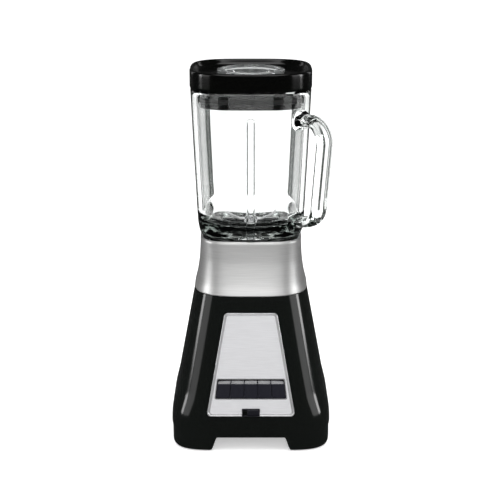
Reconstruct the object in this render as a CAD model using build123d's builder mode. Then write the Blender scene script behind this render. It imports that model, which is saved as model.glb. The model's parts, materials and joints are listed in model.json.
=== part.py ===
"""Countertop blender: square glass jar with a corner handle on a tapered motor base.

Millimetres, +Z up, front towards -Y. The origin is on the counter, under the drive axis.
Each section below makes the pieces of one group and writes every piece to parts/NAME.step.
"""
from build123d import *
import math
import os

os.makedirs("parts", exist_ok=True)

# ---------------------------------------------------------------- driving dimensions
BOW = 0.04                    # how far a side bows out, as a share of the half width
GAP = 0.4                     # clearance between pieces that move past each other
RUNNING = 0.05                # radial clearance of a shaft in its bearing

# Heights, from the counter up.
SKIRT_BOTTOM = 1.0
SOCKET_BOTTOM = 3.0           # underside of the posts that hold the feet
COVER_BOTTOM = 15.5
COVER_TOP = 18.0
BAND_BOTTOM = 22.0
DECK_BOTTOM = 158.5
DECK_TOP = 162.0
COLLAR_TOP = 218.4
JAR_BOTTOM = 218.9
JAR_TOP = 372.6
LID_SKIRT_BOTTOM = 354.6
LID_BOTTOM = 373.0
LID_DECK_BOTTOM = 381.5
LID_DECK_TOP = 384.5
LID_TOP = 391.5

# (height, half width, corner radius) stations of the three big shapes.
BASE_STATIONS = [(BAND_BOTTOM, 84.0, 34.0), (30.0, 83.9, 34.0), (37.0, 83.35, 34.0),
                 (45.0, 82.15, 34.0), (60.0, 79.35, 34.5), (DECK_TOP, 60.0, 39.0)]
COLLAR_STATIONS = [(DECK_TOP, 60.5, 40.0), (165.5, 59.4, 39.0), (178.0, 57.3, 35.5),
                   (197.0, 54.4, 30.0), (COLLAR_TOP - 3.0, 52.9, 27.5)]
JAR_STATIONS = [(JAR_BOTTOM, 47.0, 24.0), (220.5, 50.8, 27.0), (225.0, 53.8, 28.5),
                (233.0, 54.9, 30.0), (268.0, 56.7, 32.5), (JAR_TOP, 61.4, 37.0)]
SKIRT_HALF = 83.1
SKIRT_CORNER = 34.0
BASE_WALL = 3.5
DECK_HOLE_R = 13.0            # opening for the drive in the top deck
SEAT_SCREW_R = 2.0
SEAT_SCREW_PLACE = 30.0       # the seat screws' distance from the axis
COLLAR_WALL = 2.5
JAR_WALL = 4.5
JAR_FLOOR = 236.0             # height where the jar's inner walls meet its sloping floor
NECK_R = 37.0
NECK_BORE_R = 31.5
NECK_BOTTOM = 198.0

# The flat front panel lies against the leaning front face.
PANEL_LEAN = math.degrees(math.atan((79.35 - 60.0) / (DECK_TOP - 60.0)))
PANEL_MID_Z = 93.0
PANEL_MID_Y = -(79.35 - (PANEL_MID_Z - 60.0) * math.tan(math.radians(PANEL_LEAN)))
PANEL_TOP = 54.7              # along the panel, up from its middle
PANEL_BOTTOM = -55.2
PANEL_TOP_HALF = 27.6
PANEL_BOTTOM_HALF = 46.7
PANEL_FLOOR = -1.8            # depth of the pocket that the panel lies in
FRAME_WIDTH = 3.0
FRAME_PROUD = 0.9

KEY_COUNT = 5
KEY_TOP = -17.1
KEY_BOTTOM = -35.5
KEY_ROW_TOP_HALF = 34.1
KEY_ROW_BOTTOM_HALF = 36.6
KEY_STEM = 6.0
SWITCH_TOP = -46.3
KEY_PROUD = 0.9
SLOT_HEADROOM = 1.6           # the slot shows above the keys by this much
PLATE_PROUD = 0.2
SWITCH_HALF = 9.3
SURROUND_WALL = 0.8
KNOB_TRAVEL = 4.0
KNOB_PROUD = 1.5
KNOB_STEM_V = -48.8

# Jar seat, threaded nut under the jar, and the drive between them.
SEAT_R = 49.0
SEAT_FLOOR = 166.0
NUT_R = 43.0
NUT_BOTTOM = 168.0
NUT_TOP = 214.0
LUG_WIDE = 8.0
SHELF_TOP = 191.0             # the blade housing's flange rests here, inside the nut
COUPLING_BOTTOM = 167.0
COUPLING_FLOOR = 178.0
STUD_SQUARE = 12.0
BLADE_HALF_WIDTH = 7.0
BLADE_REACH = 28.0
BLADE_FLAT = 11.0             # half length of a blade's level middle
BLADE_THICK = 1.5
BUSH_BOTTOM = 184.0
BUSH_R = 8.0
BUSH_TOP = 222.0
SHAFT_END = 231.0

# Rib up the jar's front.
RIB_TOP = 347.0
RIB_BOTTOM = 236.0
RIB_WIDE = 9.0
RIB_DEEP = 1.6

RIB_MID = (RIB_TOP + RIB_BOTTOM) / 2
JAR_LEAN = (61.4 - 56.7) / (JAR_TOP - 268.0)
RIB_PLANE = Plane(origin=(0, -(56.7 + (RIB_MID - 268.0) * JAR_LEAN), RIB_MID), x_dir=(1, 0, 0),
                  z_dir=(0, -1, -JAR_LEAN))

# Lid and filler cap.
LID_HALF = 62.7
LID_SKIRT_HALF = 54.6
SEAL_BOTTOM = 360.0
SEAL_TALL = 5.0
CAP_R = 29.0
CAP_RIM_R = 35.0
CAP_TOP = 389.0
CAP_BOTTOM = 362.0

# Motor.
SHAFT_R = 4.0
MOTOR_X = 46.0                # half sizes of the field stack
MOTOR_Y = 44.0
STACK_BOTTOM = 70.0
STACK_TOP = 100.0
ROTOR_R = 20.0
BOLT_X = 41.0
BOLT_Y = 38.5
BOLT_R = 2.0
ARMATURE_SLOTS = 12
COMMUTATOR_R = 11.0
FAN_R = 34.0
POLE_NECK = 13.0              # half width of a field pole where its coil sits
POLE_SHOE = 20.0
BEARING_R = 10.0
BEARING_TALL = 8.0
LOWER_BEARING_Z = 40.0
UPPER_BEARING_Z = 118.0
FAN_Z = 26.0
BRUSH_Z = 57.0                # height of the brushes' middle
SHAFT_BOTTOM = 24.0
STUD_BOTTOM = 150.0
BRUSH = 6.0

CORD_Z = 28.5                 # height of the supply cord's outlet in the back
CORD_HOLE_R = 6.0
CORD_R = 3.6
FOOT_PLACE = 58.0             # the feet stand at this x and y, under the corners
FOOT_R = 11.0
FOOT_SET = 2.0                # how far a foot is let into its post
COVER_SCREW_R = 2.4
GLAND_BACK = 75.5             # the gland's flange lies between these two depths, inside the wall
GLAND_STEP = 79.5
INSIDE_BACK = 70.0            # a depth clear inside the back wall, where cuts through it start

# Handle, measured outwards from the drive axis along the front right corner's diagonal.
HANDLE_TOP_Z = 347.5
HANDLE_BOTTOM_Z = 243.0
HANDLE_TOP_REACH = 105.4
HANDLE_BOTTOM_REACH = 94.9
HANDLE_ROOT = 62.0
HANDLE_BEND = 20.0
HANDLE_WIDE = 10.0            # half sizes of the grip's section
HANDLE_DEEP = 5.5
BOSS_TOP_Z = 343.7
BOSS_BOTTOM_Z = 237.7
BOSS_R = 10.5

PANEL_PLANE = Plane(origin=(0, PANEL_MID_Y, PANEL_MID_Z), x_dir=(1, 0, 0),
                    z_dir=(0, -math.cos(math.radians(PANEL_LEAN)), math.sin(math.radians(PANEL_LEAN))))
DIAGONAL = Plane(origin=(0, 0, 0), x_dir=(1, -1, 0), z_dir=(-1, -1, 0))
DIAGONAL_FACE = Plane(origin=(0, 0, 0), x_dir=(1, 1, 0), z_dir=(1, -1, 0))


# ---------------------------------------------------------------- helpers
def save(builder, name):
    """Labels a finished piece and writes it."""
    builder.part.label = name
    export_step(builder.part, f"parts/{name}.step")


def bowed_square(half, corner, mode=Mode.ADD):
    """Draws a square with gently bowed sides and rounded corners in the open sketch."""
    reach = half * (1 - BOW)
    ends = [(-reach, -reach), (reach, -reach), (reach, reach), (-reach, reach)]
    middles = [(0, -half), (half, 0), (0, half), (-half, 0)]
    with BuildLine() as outline:
        for k in range(4):
            ThreePointArc(ends[k], middles[k], ends[(k + 1) % 4])
        fillet(outline.vertices(), corner)
    make_face(outline.edges(), mode=mode)


def inset(stations, wall):
    """The same stations, a wall's thickness further in."""
    return [(z, half - wall, corner - wall) for z, half, corner in stations]


def panel_half(v):
    """Half width of the panel frame's outline at height v on the panel."""
    share = (PANEL_TOP - v) / (PANEL_TOP - PANEL_BOTTOM)
    return PANEL_TOP_HALF + share * (PANEL_BOTTOM_HALF - PANEL_TOP_HALF)


def key_row_half(v):
    """Half width of the row of keys at height v on the panel."""
    share = (KEY_TOP - v) / (KEY_TOP - KEY_BOTTOM)
    return KEY_ROW_TOP_HALF + share * (KEY_ROW_BOTTOM_HALF - KEY_ROW_TOP_HALF)


def trapezoid(top, bottom, top_half, bottom_half, corner, mode=Mode.ADD):
    """Draws a symmetric trapezoid with rounded corners in the open sketch."""
    with BuildLine() as outline:
        Polyline((-bottom_half, bottom), (bottom_half, bottom), (top_half, top), (-top_half, top),
                 close=True)
        fillet(outline.vertices(), corner)
    make_face(outline.edges(), mode=mode)


def panel_outline(margin, corner, mode=Mode.ADD):
    """Draws the panel frame's outline, moved in by margin on every side."""
    top = PANEL_TOP - margin
    bottom = PANEL_BOTTOM + margin
    trapezoid(top, bottom, panel_half(top) - margin, panel_half(bottom) - margin, corner, mode)


def panel_level(height):
    """The plane at this height above the front face, along the panel's normal."""
    return PANEL_PLANE.offset(height)


# ---------------------------------------------------------------- base shell
with BuildPart() as base_housing:
    with BuildSketch(Plane.XY.offset(SKIRT_BOTTOM)):
        bowed_square(SKIRT_HALF, SKIRT_CORNER)
    extrude(amount=BAND_BOTTOM - SKIRT_BOTTOM)
    fillet(base_housing.faces().sort_by(Axis.Z)[0].edges(), 2.5)
    for z, half, corner in BASE_STATIONS:
        with BuildSketch(Plane.XY.offset(z)):
            bowed_square(half, corner)
    loft(ruled=True)
    with BuildSketch(Plane.XY.offset(SKIRT_BOTTOM - 1)):
        bowed_square(SKIRT_HALF - BASE_WALL, SKIRT_CORNER - BASE_WALL)
    extrude(amount=BAND_BOTTOM - SKIRT_BOTTOM + 1, mode=Mode.SUBTRACT)
    for z, half, corner in inset(BASE_STATIONS[:-1], BASE_WALL) + [(DECK_BOTTOM, 57.1, 35.0)]:
        with BuildSketch(Plane.XY.offset(z)):
            bowed_square(half, corner)
    loft(ruled=True, mode=Mode.SUBTRACT)
    # Drive opening and the four seat screws in the top deck.
    with Locations((0, 0, DECK_TOP)):
        Hole(DECK_HOLE_R, DECK_TOP - DECK_BOTTOM)
    with Locations((0, 0, DECK_TOP)):
        with PolarLocations(SEAT_SCREW_PLACE, 4, 45):
            Hole(SEAT_SCREW_R, DECK_TOP - DECK_BOTTOM)
    # Arches between the feet, front to back and side to side.
    for turn in (0, 90):
        with BuildSketch(Plane.XZ.rotated((0, 0, turn))):
            trapezoid(COVER_BOTTOM - 0.5, -20, 39.0, 57.0, 5.0)
        extrude(amount=100, both=True, mode=Mode.SUBTRACT)
    # Pocket and opening for the front panel.
    with BuildSketch(panel_level(PANEL_FLOOR)):
        panel_outline(0, 4.0)
    extrude(amount=10, mode=Mode.SUBTRACT)
    with BuildSketch(panel_level(-12)):
        panel_outline(4.5, 3.0)
    extrude(amount=20, mode=Mode.SUBTRACT)
    # Outlet of the supply cord, low on the back.
    with BuildSketch(Plane.XZ.offset(-INSIDE_BACK)):
        with Locations((0, CORD_Z)):
            Circle(CORD_HOLE_R)
    extrude(amount=-20, mode=Mode.SUBTRACT)
    # Bosses for the cover screws, each tied to its corner by a web.
    with BuildSketch(Plane.XY.offset(COVER_TOP)):
        with GridLocations(2 * FOOT_PLACE, 2 * FOOT_PLACE, 2, 2):
            Circle(5.0)
        with PolarLocations(FOOT_PLACE * math.sqrt(2) + 10.0, 4, 45):
            Rectangle(20.0, 3.0)
        with GridLocations(2 * FOOT_PLACE, 2 * FOOT_PLACE, 2, 2):
            Circle(COVER_SCREW_R, mode=Mode.SUBTRACT)
    extrude(amount=10.0)
save(base_housing, "base_housing")

with BuildPart() as cord_gland:
    with BuildSketch(Plane.XZ.offset(-GLAND_BACK)):
        with Locations((0, CORD_Z)):
            Circle(CORD_HOLE_R + 2)
    extrude(amount=GLAND_BACK - GLAND_STEP)
    with BuildSketch(Plane.XZ.offset(-GLAND_STEP)):
        with Locations((0, CORD_Z)):
            Circle(CORD_HOLE_R)
    extrude(amount=-4.0)
    with BuildSketch(Plane.XZ.offset(-INSIDE_BACK)):
        with Locations((0, CORD_Z)):
            Circle(CORD_R)
    extrude(amount=-20, mode=Mode.SUBTRACT)
save(cord_gland, "cord_gland")

with BuildPart() as bottom_cover:
    with BuildSketch(Plane.XY.offset(COVER_BOTTOM)):
        bowed_square(SKIRT_HALF - BASE_WALL, SKIRT_CORNER - BASE_WALL)
    extrude(amount=COVER_TOP - COVER_BOTTOM)
    with BuildSketch(Plane.XY.offset(SOCKET_BOTTOM)):
        with GridLocations(2 * FOOT_PLACE, 2 * FOOT_PLACE, 2, 2):
            Circle(FOOT_R + 2)
            Circle(COVER_SCREW_R, mode=Mode.SUBTRACT)
    extrude(amount=COVER_BOTTOM - SOCKET_BOTTOM)
    with BuildSketch(Plane.XY.offset(SOCKET_BOTTOM)):
        with GridLocations(2 * FOOT_PLACE, 2 * FOOT_PLACE, 2, 2):
            Circle(FOOT_R)
    extrude(amount=FOOT_SET, mode=Mode.SUBTRACT)
    # Posts that carry the motor.
    with BuildSketch(Plane.XY.offset(COVER_TOP)):
        with GridLocations(2 * BOLT_X, 2 * BOLT_Y, 2, 2):
            Circle(6.0)
    extrude(amount=20)
    with BuildSketch(Plane.XY.offset(28)):
        with GridLocations(2 * BOLT_X, 2 * BOLT_Y, 2, 2):
            Circle(BOLT_R)
    extrude(amount=10, mode=Mode.SUBTRACT)
    with BuildSketch(Plane.XY.offset(COVER_BOTTOM)):
        with GridLocations(2 * FOOT_PLACE, 2 * FOOT_PLACE, 2, 2):
            Circle(COVER_SCREW_R)
    extrude(amount=COVER_TOP - COVER_BOTTOM, mode=Mode.SUBTRACT)
    # Air intake slots under the fan.
    with BuildSketch(Plane.XY.offset(COVER_BOTTOM)):
        with PolarLocations(22, 12):
            SlotOverall(20, 4)
    extrude(amount=COVER_TOP - COVER_BOTTOM, mode=Mode.SUBTRACT)
save(bottom_cover, "bottom_cover")

foot_number = 0
for side_x in (-1, 1):
    for side_y in (-1, 1):
        foot_number += 1
        with BuildPart() as foot:
            with BuildSketch(Plane((side_x * FOOT_PLACE, side_y * FOOT_PLACE, 0))):
                Circle(FOOT_R)
            extrude(amount=SOCKET_BOTTOM + FOOT_SET)
            fillet(foot.faces().sort_by(Axis.Z)[0].edges(), 1.0)
            with BuildSketch(Plane((side_x * FOOT_PLACE, side_y * FOOT_PLACE, 0))):
                Circle(4.0)
            extrude(amount=SOCKET_BOTTOM + 0.2, mode=Mode.SUBTRACT)
        save(foot, f"foot_{foot_number}")

with BuildPart() as cover_screws:
    for side_x in (-1, 1):
        with BuildSketch(Plane((side_x * FOOT_PLACE, 0, COVER_BOTTOM - 1.5))):
            with GridLocations(1, 2 * FOOT_PLACE, 1, 2):
                Circle(COVER_SCREW_R)
        extrude(amount=COVER_TOP - COVER_BOTTOM + 8)
save(cover_screws, "cover_screws")

# ---------------------------------------------------------------- front panel
with BuildPart() as panel_frame:
    with BuildSketch(panel_level(PANEL_FLOOR)):
        panel_outline(0, 4.0)
        panel_outline(FRAME_WIDTH, 2.5, mode=Mode.SUBTRACT)
    extrude(amount=FRAME_PROUD - PANEL_FLOOR)
    with BuildSketch(panel_level(PANEL_FLOOR)):
        with Locations((0, PANEL_BOTTOM)):
            Rectangle(2 * SWITCH_HALF, 4 * FRAME_WIDTH)
    extrude(amount=10, mode=Mode.SUBTRACT)
save(panel_frame, "panel_frame")

with BuildPart() as control_panel:
    with BuildSketch(panel_level(PANEL_FLOOR)):
        panel_outline(FRAME_WIDTH, 2.5)
        trapezoid(KEY_TOP + SLOT_HEADROOM, KEY_BOTTOM - GAP, key_row_half(KEY_TOP) + GAP,
                  key_row_half(KEY_BOTTOM) + GAP, 1.2, mode=Mode.SUBTRACT)
        with Locations((0, PANEL_BOTTOM)):
            Rectangle(2 * SWITCH_HALF, 2 * (SWITCH_TOP - PANEL_BOTTOM), mode=Mode.SUBTRACT)
    extrude(amount=PLATE_PROUD - PANEL_FLOOR)
save(control_panel, "control_panel")

# Keys: equal shares of the row, each a flat cap on a square stem.
KEY_MID = (KEY_TOP + KEY_BOTTOM) / 2
KEY_PITCH = 2 * key_row_half(KEY_MID) / KEY_COUNT
for number in range(KEY_COUNT):
    left = 2 * number / KEY_COUNT - 1
    right = 2 * (number + 1) / KEY_COUNT - 1
    with BuildPart() as key:
        with BuildSketch(panel_level(-2.5)):
            with BuildLine() as cap_outline:
                Polyline((left * KEY_ROW_BOTTOM_HALF + GAP / 2, KEY_BOTTOM),
                         (right * KEY_ROW_BOTTOM_HALF - GAP / 2, KEY_BOTTOM),
                         (right * KEY_ROW_TOP_HALF - GAP / 2, KEY_TOP),
                         (left * KEY_ROW_TOP_HALF + GAP / 2, KEY_TOP), close=True)
            make_face(cap_outline.edges())
        extrude(amount=2.5 + KEY_PROUD)
        with BuildSketch(panel_level(-2.5)):
            with Locations((KEY_PITCH * (number - (KEY_COUNT - 1) / 2), KEY_MID)):
                Rectangle(KEY_STEM, KEY_STEM)
        extrude(amount=-9.5)
    save(key, f"key_{number + 1}")

with BuildPart() as switch_bank:
    with BuildSketch(panel_level(-9.0)):
        with Locations((0, KEY_MID)):
            Rectangle(2 * KEY_ROW_TOP_HALF, 16)
    extrude(amount=-14)
    with BuildSketch(panel_level(-9.0)):
        with Locations((0, KEY_MID)):
            with GridLocations(KEY_PITCH, 1, KEY_COUNT, 1):
                Rectangle(KEY_STEM + 2 * GAP, KEY_STEM + 2 * GAP)
    extrude(amount=-7, mode=Mode.SUBTRACT)
save(switch_bank, "switch_bank")

# Range switch: a surround notched into the frame's bottom bar, a knob that slides in it, and the
# switch body behind.
KNOB_MID = (SWITCH_TOP + PANEL_BOTTOM) / 2
KNOB_HALF = (2 * (SWITCH_HALF - SURROUND_WALL - GAP) - KNOB_TRAVEL) / 2
KNOB_X = SWITCH_HALF - SURROUND_WALL - GAP - KNOB_HALF
SWITCH_TALL = SWITCH_TOP - PANEL_BOTTOM
with BuildPart() as switch_surround:
    with BuildSketch(panel_level(PANEL_FLOOR)):
        with Locations((0, KNOB_MID)):
            RectangleRounded(2 * SWITCH_HALF, SWITCH_TALL, 0.8)
            Rectangle(2 * (SWITCH_HALF - SURROUND_WALL), SWITCH_TALL - 2 * SURROUND_WALL,
                      mode=Mode.SUBTRACT)
    extrude(amount=FRAME_PROUD - PANEL_FLOOR)
save(switch_surround, "switch_surround")

with BuildPart() as range_knob:
    with BuildSketch(panel_level(-1.2)):
        with Locations((KNOB_X, KNOB_MID)):
            Rectangle(2 * KNOB_HALF, SWITCH_TALL - 2 * SURROUND_WALL - 2 * GAP)
    extrude(amount=1.2 + KNOB_PROUD)
    with BuildSketch(panel_level(-1.2)):
        with Locations((KNOB_X, KNOB_STEM_V)):
            Rectangle(3.0, 2.4)
    extrude(amount=-7)
save(range_knob, "range_knob")

with BuildPart() as slide_switch:
    with BuildSketch(panel_level(-5.0)):
        with Locations((0, KNOB_STEM_V + 4)):
            Rectangle(24, 14)
    extrude(amount=-9)
    with BuildSketch(panel_level(-5.0)):
        with Locations((KNOB_X - KNOB_TRAVEL / 2, KNOB_STEM_V)):
            Rectangle(3.0 + KNOB_TRAVEL + 2 * GAP, 2.4 + 2 * GAP)
    extrude(amount=-4, mode=Mode.SUBTRACT)
save(slide_switch, "slide_switch")

# ---------------------------------------------------------------- collar and jar seat
with BuildPart() as jar_collar:
    for z, half, corner in COLLAR_STATIONS:
        with BuildSketch(Plane.XY.offset(z)):
            bowed_square(half, corner)
    loft(ruled=True)
    with BuildSketch(Plane.XY.offset(COLLAR_TOP - 3.0)):
        bowed_square(COLLAR_STATIONS[-1][1], COLLAR_STATIONS[-1][2])
    extrude(amount=3.0)
    fillet(jar_collar.faces().sort_by(Axis.Z)[-1].edges(), 1.2)
    for z, half, corner in inset(COLLAR_STATIONS, COLLAR_WALL):
        with BuildSketch(Plane.XY.offset(z)):
            bowed_square(half, corner)
    loft(ruled=True, mode=Mode.SUBTRACT)
    with BuildSketch(Plane.XY.offset(COLLAR_TOP - 3.0)):
        bowed_square(COLLAR_STATIONS[-1][1] - COLLAR_WALL, COLLAR_STATIONS[-1][2] - COLLAR_WALL)
    extrude(amount=3.0, mode=Mode.SUBTRACT)
save(jar_collar, "jar_collar")

with BuildPart() as jar_seat:
    with BuildSketch(Plane.XY.offset(DECK_TOP)):
        Circle(SEAT_R)
        Circle(17.0, mode=Mode.SUBTRACT)
    extrude(amount=SEAT_FLOOR - DECK_TOP)
    with BuildSketch(Plane.XY.offset(SEAT_FLOOR)):
        Circle(SEAT_R)
        Circle(NUT_R + 1.0, mode=Mode.SUBTRACT)
        with PolarLocations((SEAT_R + NUT_R) / 2, 4):
            Rectangle(SEAT_R - NUT_R + 2, LUG_WIDE + 2.0, mode=Mode.SUBTRACT)
    extrude(amount=18)
    with BuildSketch(Plane.XY.offset(DECK_TOP)):
        with PolarLocations(SEAT_SCREW_PLACE, 4, 45):
            Circle(SEAT_SCREW_R)
    extrude(amount=SEAT_FLOOR - DECK_TOP, mode=Mode.SUBTRACT)
save(jar_seat, "jar_seat")

with BuildPart() as seat_screws:
    with BuildSketch(Plane.XY.offset(DECK_BOTTOM - 4.0)):
        with PolarLocations(SEAT_SCREW_PLACE, 4, 45):
            Circle(SEAT_SCREW_R)
    extrude(amount=SEAT_FLOOR - DECK_BOTTOM + 4.0)
    with BuildSketch(Plane.XY.offset(DECK_BOTTOM - 4.0)):
        with PolarLocations(SEAT_SCREW_PLACE, 4, 45):
            Circle(1.8 * SEAT_SCREW_R)
    extrude(amount=4.0)
save(seat_screws, "seat_screws")

# ---------------------------------------------------------------- jar foot and blade unit
with BuildPart() as jar_nut:
    with BuildSketch(Plane.XY.offset(NUT_BOTTOM)):
        Circle(NUT_R)
        Circle(NUT_R - 3.5, mode=Mode.SUBTRACT)
    extrude(amount=NUT_TOP - NUT_BOTTOM)
    with BuildSketch(Plane.XY.offset(SHELF_TOP - 4.0)):
        Circle(NUT_R - 3.0)
        Circle(22.0, mode=Mode.SUBTRACT)
    extrude(amount=4.0)
    with BuildSketch(Plane.XY.offset(SHELF_TOP)):
        Circle(NUT_R - 3.0)
        Circle(NECK_R + 0.6, mode=Mode.SUBTRACT)
    extrude(amount=NUT_TOP - SHELF_TOP)
    with BuildSketch(Plane.XY.offset(NUT_BOTTOM + 2)):
        with PolarLocations(NUT_R + 1.0, 4):
            Rectangle(4.0, LUG_WIDE)
    extrude(amount=10)
save(jar_nut, "jar_nut")

with BuildPart() as jar_gasket:
    with BuildSketch(Plane.XY.offset(SHELF_TOP + 4.0 + 0.3)):
        Circle(NECK_R - 0.4)
        Circle(NECK_BORE_R + 0.4, mode=Mode.SUBTRACT)
    extrude(amount=NECK_BOTTOM - 0.3 - (SHELF_TOP + 4.3))
save(jar_gasket, "jar_gasket")

with BuildPart() as blade_housing:
    with BuildSketch(Plane.XZ):
        with BuildLine() as housing_profile:
            Polyline((BUSH_R, BUSH_BOTTOM), (12.5, BUSH_BOTTOM), (12.5, SHELF_TOP), (NECK_R, SHELF_TOP),
                     (NECK_R, SHELF_TOP + 4.0), (30.0, SHELF_TOP + 4.0), (20.0, SHELF_TOP + 9.0),
                     (14.0, 218.0), (12.0, BUSH_TOP), (BUSH_R, BUSH_TOP), close=True)
        make_face(housing_profile.edges())
    revolve(axis=Axis.Z)
save(blade_housing, "blade_housing")

with BuildPart() as blade_bush:
    with BuildSketch(Plane.XY.offset(BUSH_BOTTOM)):
        Circle(BUSH_R)
        Circle(SHAFT_R + RUNNING, mode=Mode.SUBTRACT)
    extrude(amount=BUSH_TOP - BUSH_BOTTOM)
save(blade_bush, "blade_bush")

with BuildPart() as blade_coupling:
    with BuildSketch(Plane.XY.offset(COUPLING_BOTTOM)):
        Circle(12.0)
        RectangleRounded(STUD_SQUARE + 2 * GAP, STUD_SQUARE + 2 * GAP, 1.5, mode=Mode.SUBTRACT)
    extrude(amount=COUPLING_FLOOR - COUPLING_BOTTOM)
    with BuildSketch(Plane.XY.offset(COUPLING_FLOOR)):
        Circle(12.0)
        Circle(SHAFT_R, mode=Mode.SUBTRACT)
    extrude(amount=BUSH_BOTTOM - 1.0 - COUPLING_FLOOR)
save(blade_coupling, "blade_coupling")

with BuildPart() as blade_shaft:
    with BuildSketch(Plane.XY.offset(COUPLING_FLOOR)):
        Circle(SHAFT_R)
    extrude(amount=SHAFT_END - COUPLING_FLOOR)
save(blade_shaft, "blade_shaft")

with BuildPart() as blade_washer:
    with BuildSketch(Plane.XY.offset(BUSH_TOP + 0.5)):
        Circle(10.0)
        Circle(SHAFT_R, mode=Mode.SUBTRACT)
    extrude(amount=1.5)
save(blade_washer, "blade_washer")

# Each blade is a strip whose two ends are bent, sharpened and swept back.
for name, bottom, rise, turn in (("lower_blade", 224.0, -0.12, 90.0), ("upper_blade", 225.5, 0.75, 0.0)):
    blade_plane = Plane.XZ.rotated((0, 0, turn)).offset(-BLADE_HALF_WIDTH)
    with BuildPart() as blade:
        with BuildSketch(blade_plane):
            with BuildLine() as blade_profile:
                tip = bottom + rise * (BLADE_REACH - BLADE_FLAT)
                Polyline((-BLADE_REACH, tip), (-BLADE_FLAT, bottom), (BLADE_FLAT, bottom), (BLADE_REACH, tip),
                         (BLADE_REACH, tip + BLADE_THICK), (BLADE_FLAT, bottom + BLADE_THICK),
                         (-BLADE_FLAT, bottom + BLADE_THICK), (-BLADE_REACH, tip + BLADE_THICK), close=True)
            make_face(blade_profile.edges())
        extrude(amount=2 * BLADE_HALF_WIDTH)
        with BuildSketch(Plane.XY.offset(bottom - 5)):
            Circle(40)
            with BuildLine(Plane.XY.rotated((0, 0, turn))) as plan:
                Polyline((-BLADE_REACH, -6), (-10, -BLADE_HALF_WIDTH), (24, -BLADE_HALF_WIDTH),
                         (BLADE_REACH, 6), (10, BLADE_HALF_WIDTH), (-24, BLADE_HALF_WIDTH), close=True)
            make_face(plan.edges(), mode=Mode.SUBTRACT)
        extrude(amount=40, mode=Mode.SUBTRACT)
        with BuildSketch(Plane.XY.offset(bottom - 1)):
            Circle(SHAFT_R)
        extrude(amount=4, mode=Mode.SUBTRACT)
    save(blade, name)

with BuildPart() as blade_nut:
    with BuildSketch(Plane.XY.offset(SHAFT_END - 4.0)):
        RegularPolygon(6.5, 6)
        Circle(SHAFT_R, mode=Mode.SUBTRACT)
    extrude(amount=4.0)
    with BuildSketch(Plane.XY.offset(SHAFT_END)):
        Circle(5.6)
    extrude(amount=2.0)
    fillet(blade_nut.faces().sort_by(Axis.Z)[-1].edges(), 1.5)
save(blade_nut, "blade_nut")

# ---------------------------------------------------------------- jar
with BuildPart() as jar_glass:
    for z, half, corner in JAR_STATIONS:
        with BuildSketch(Plane.XY.offset(z)):
            bowed_square(half, corner)
    loft(ruled=True)
    with BuildSketch(Plane.XY.offset(NECK_BOTTOM)):
        Circle(NECK_R)
    extrude(amount=JAR_BOTTOM + 2 - NECK_BOTTOM)
    # Raised rib up the middle of the front, with a round top.
    with BuildSketch(RIB_PLANE):
        SlotOverall(RIB_TOP - RIB_BOTTOM, RIB_WIDE, rotation=90)
    extrude(amount=RIB_DEEP, both=True)
    # Grip: two arms and an upright bar in the plane of the corner's diagonal, ending in round bosses.
    with BuildLine(DIAGONAL) as grip_path:
        FilletPolyline((HANDLE_ROOT, BOSS_TOP_Z), (HANDLE_TOP_REACH, HANDLE_TOP_Z),
                       (HANDLE_BOTTOM_REACH, HANDLE_BOTTOM_Z), (HANDLE_ROOT - 4, BOSS_BOTTOM_Z),
                       radius=HANDLE_BEND)
    with BuildSketch(Plane(grip_path.line @ 0, x_dir=(1, 1, 0), z_dir=grip_path.line % 0)):
        Ellipse(HANDLE_WIDE, HANDLE_DEEP)
    sweep(path=grip_path.line)
    for boss_z, boss_reach in ((BOSS_TOP_Z, HANDLE_ROOT + 10), (BOSS_BOTTOM_Z, HANDLE_ROOT + 5)):
        with BuildSketch(DIAGONAL_FACE.offset(HANDLE_ROOT - 4)):
            with Locations((0, boss_z)):
                Circle(BOSS_R)
        extrude(amount=boss_reach - HANDLE_ROOT + 4, taper=8)
    # Inside: straight walls, a sloping floor and the neck's bore.
    for z, half, corner in inset([(JAR_FLOOR, 55.0, 30.5), (268.0, 56.7, 32.5)], JAR_WALL):
        with BuildSketch(Plane.XY.offset(z)):
            bowed_square(half, corner)
    loft(ruled=True, mode=Mode.SUBTRACT)
    for z, half, corner in inset([(268.0, 56.7, 32.5), (JAR_TOP, 61.4, 37.0)], JAR_WALL):
        with BuildSketch(Plane.XY.offset(z)):
            bowed_square(half, corner)
    loft(ruled=True, mode=Mode.SUBTRACT)
    with BuildSketch(Plane.XZ):
        with BuildLine() as floor_profile:
            Polyline((0, NECK_BOTTOM), (NECK_BORE_R, NECK_BOTTOM), (NECK_BORE_R, JAR_FLOOR - 9.0),
                     (49.0, JAR_FLOOR), (0, JAR_FLOOR), close=True)
        make_face(floor_profile.edges())
    revolve(axis=Axis.Z, mode=Mode.SUBTRACT)
save(jar_glass, "jar_glass")

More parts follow.
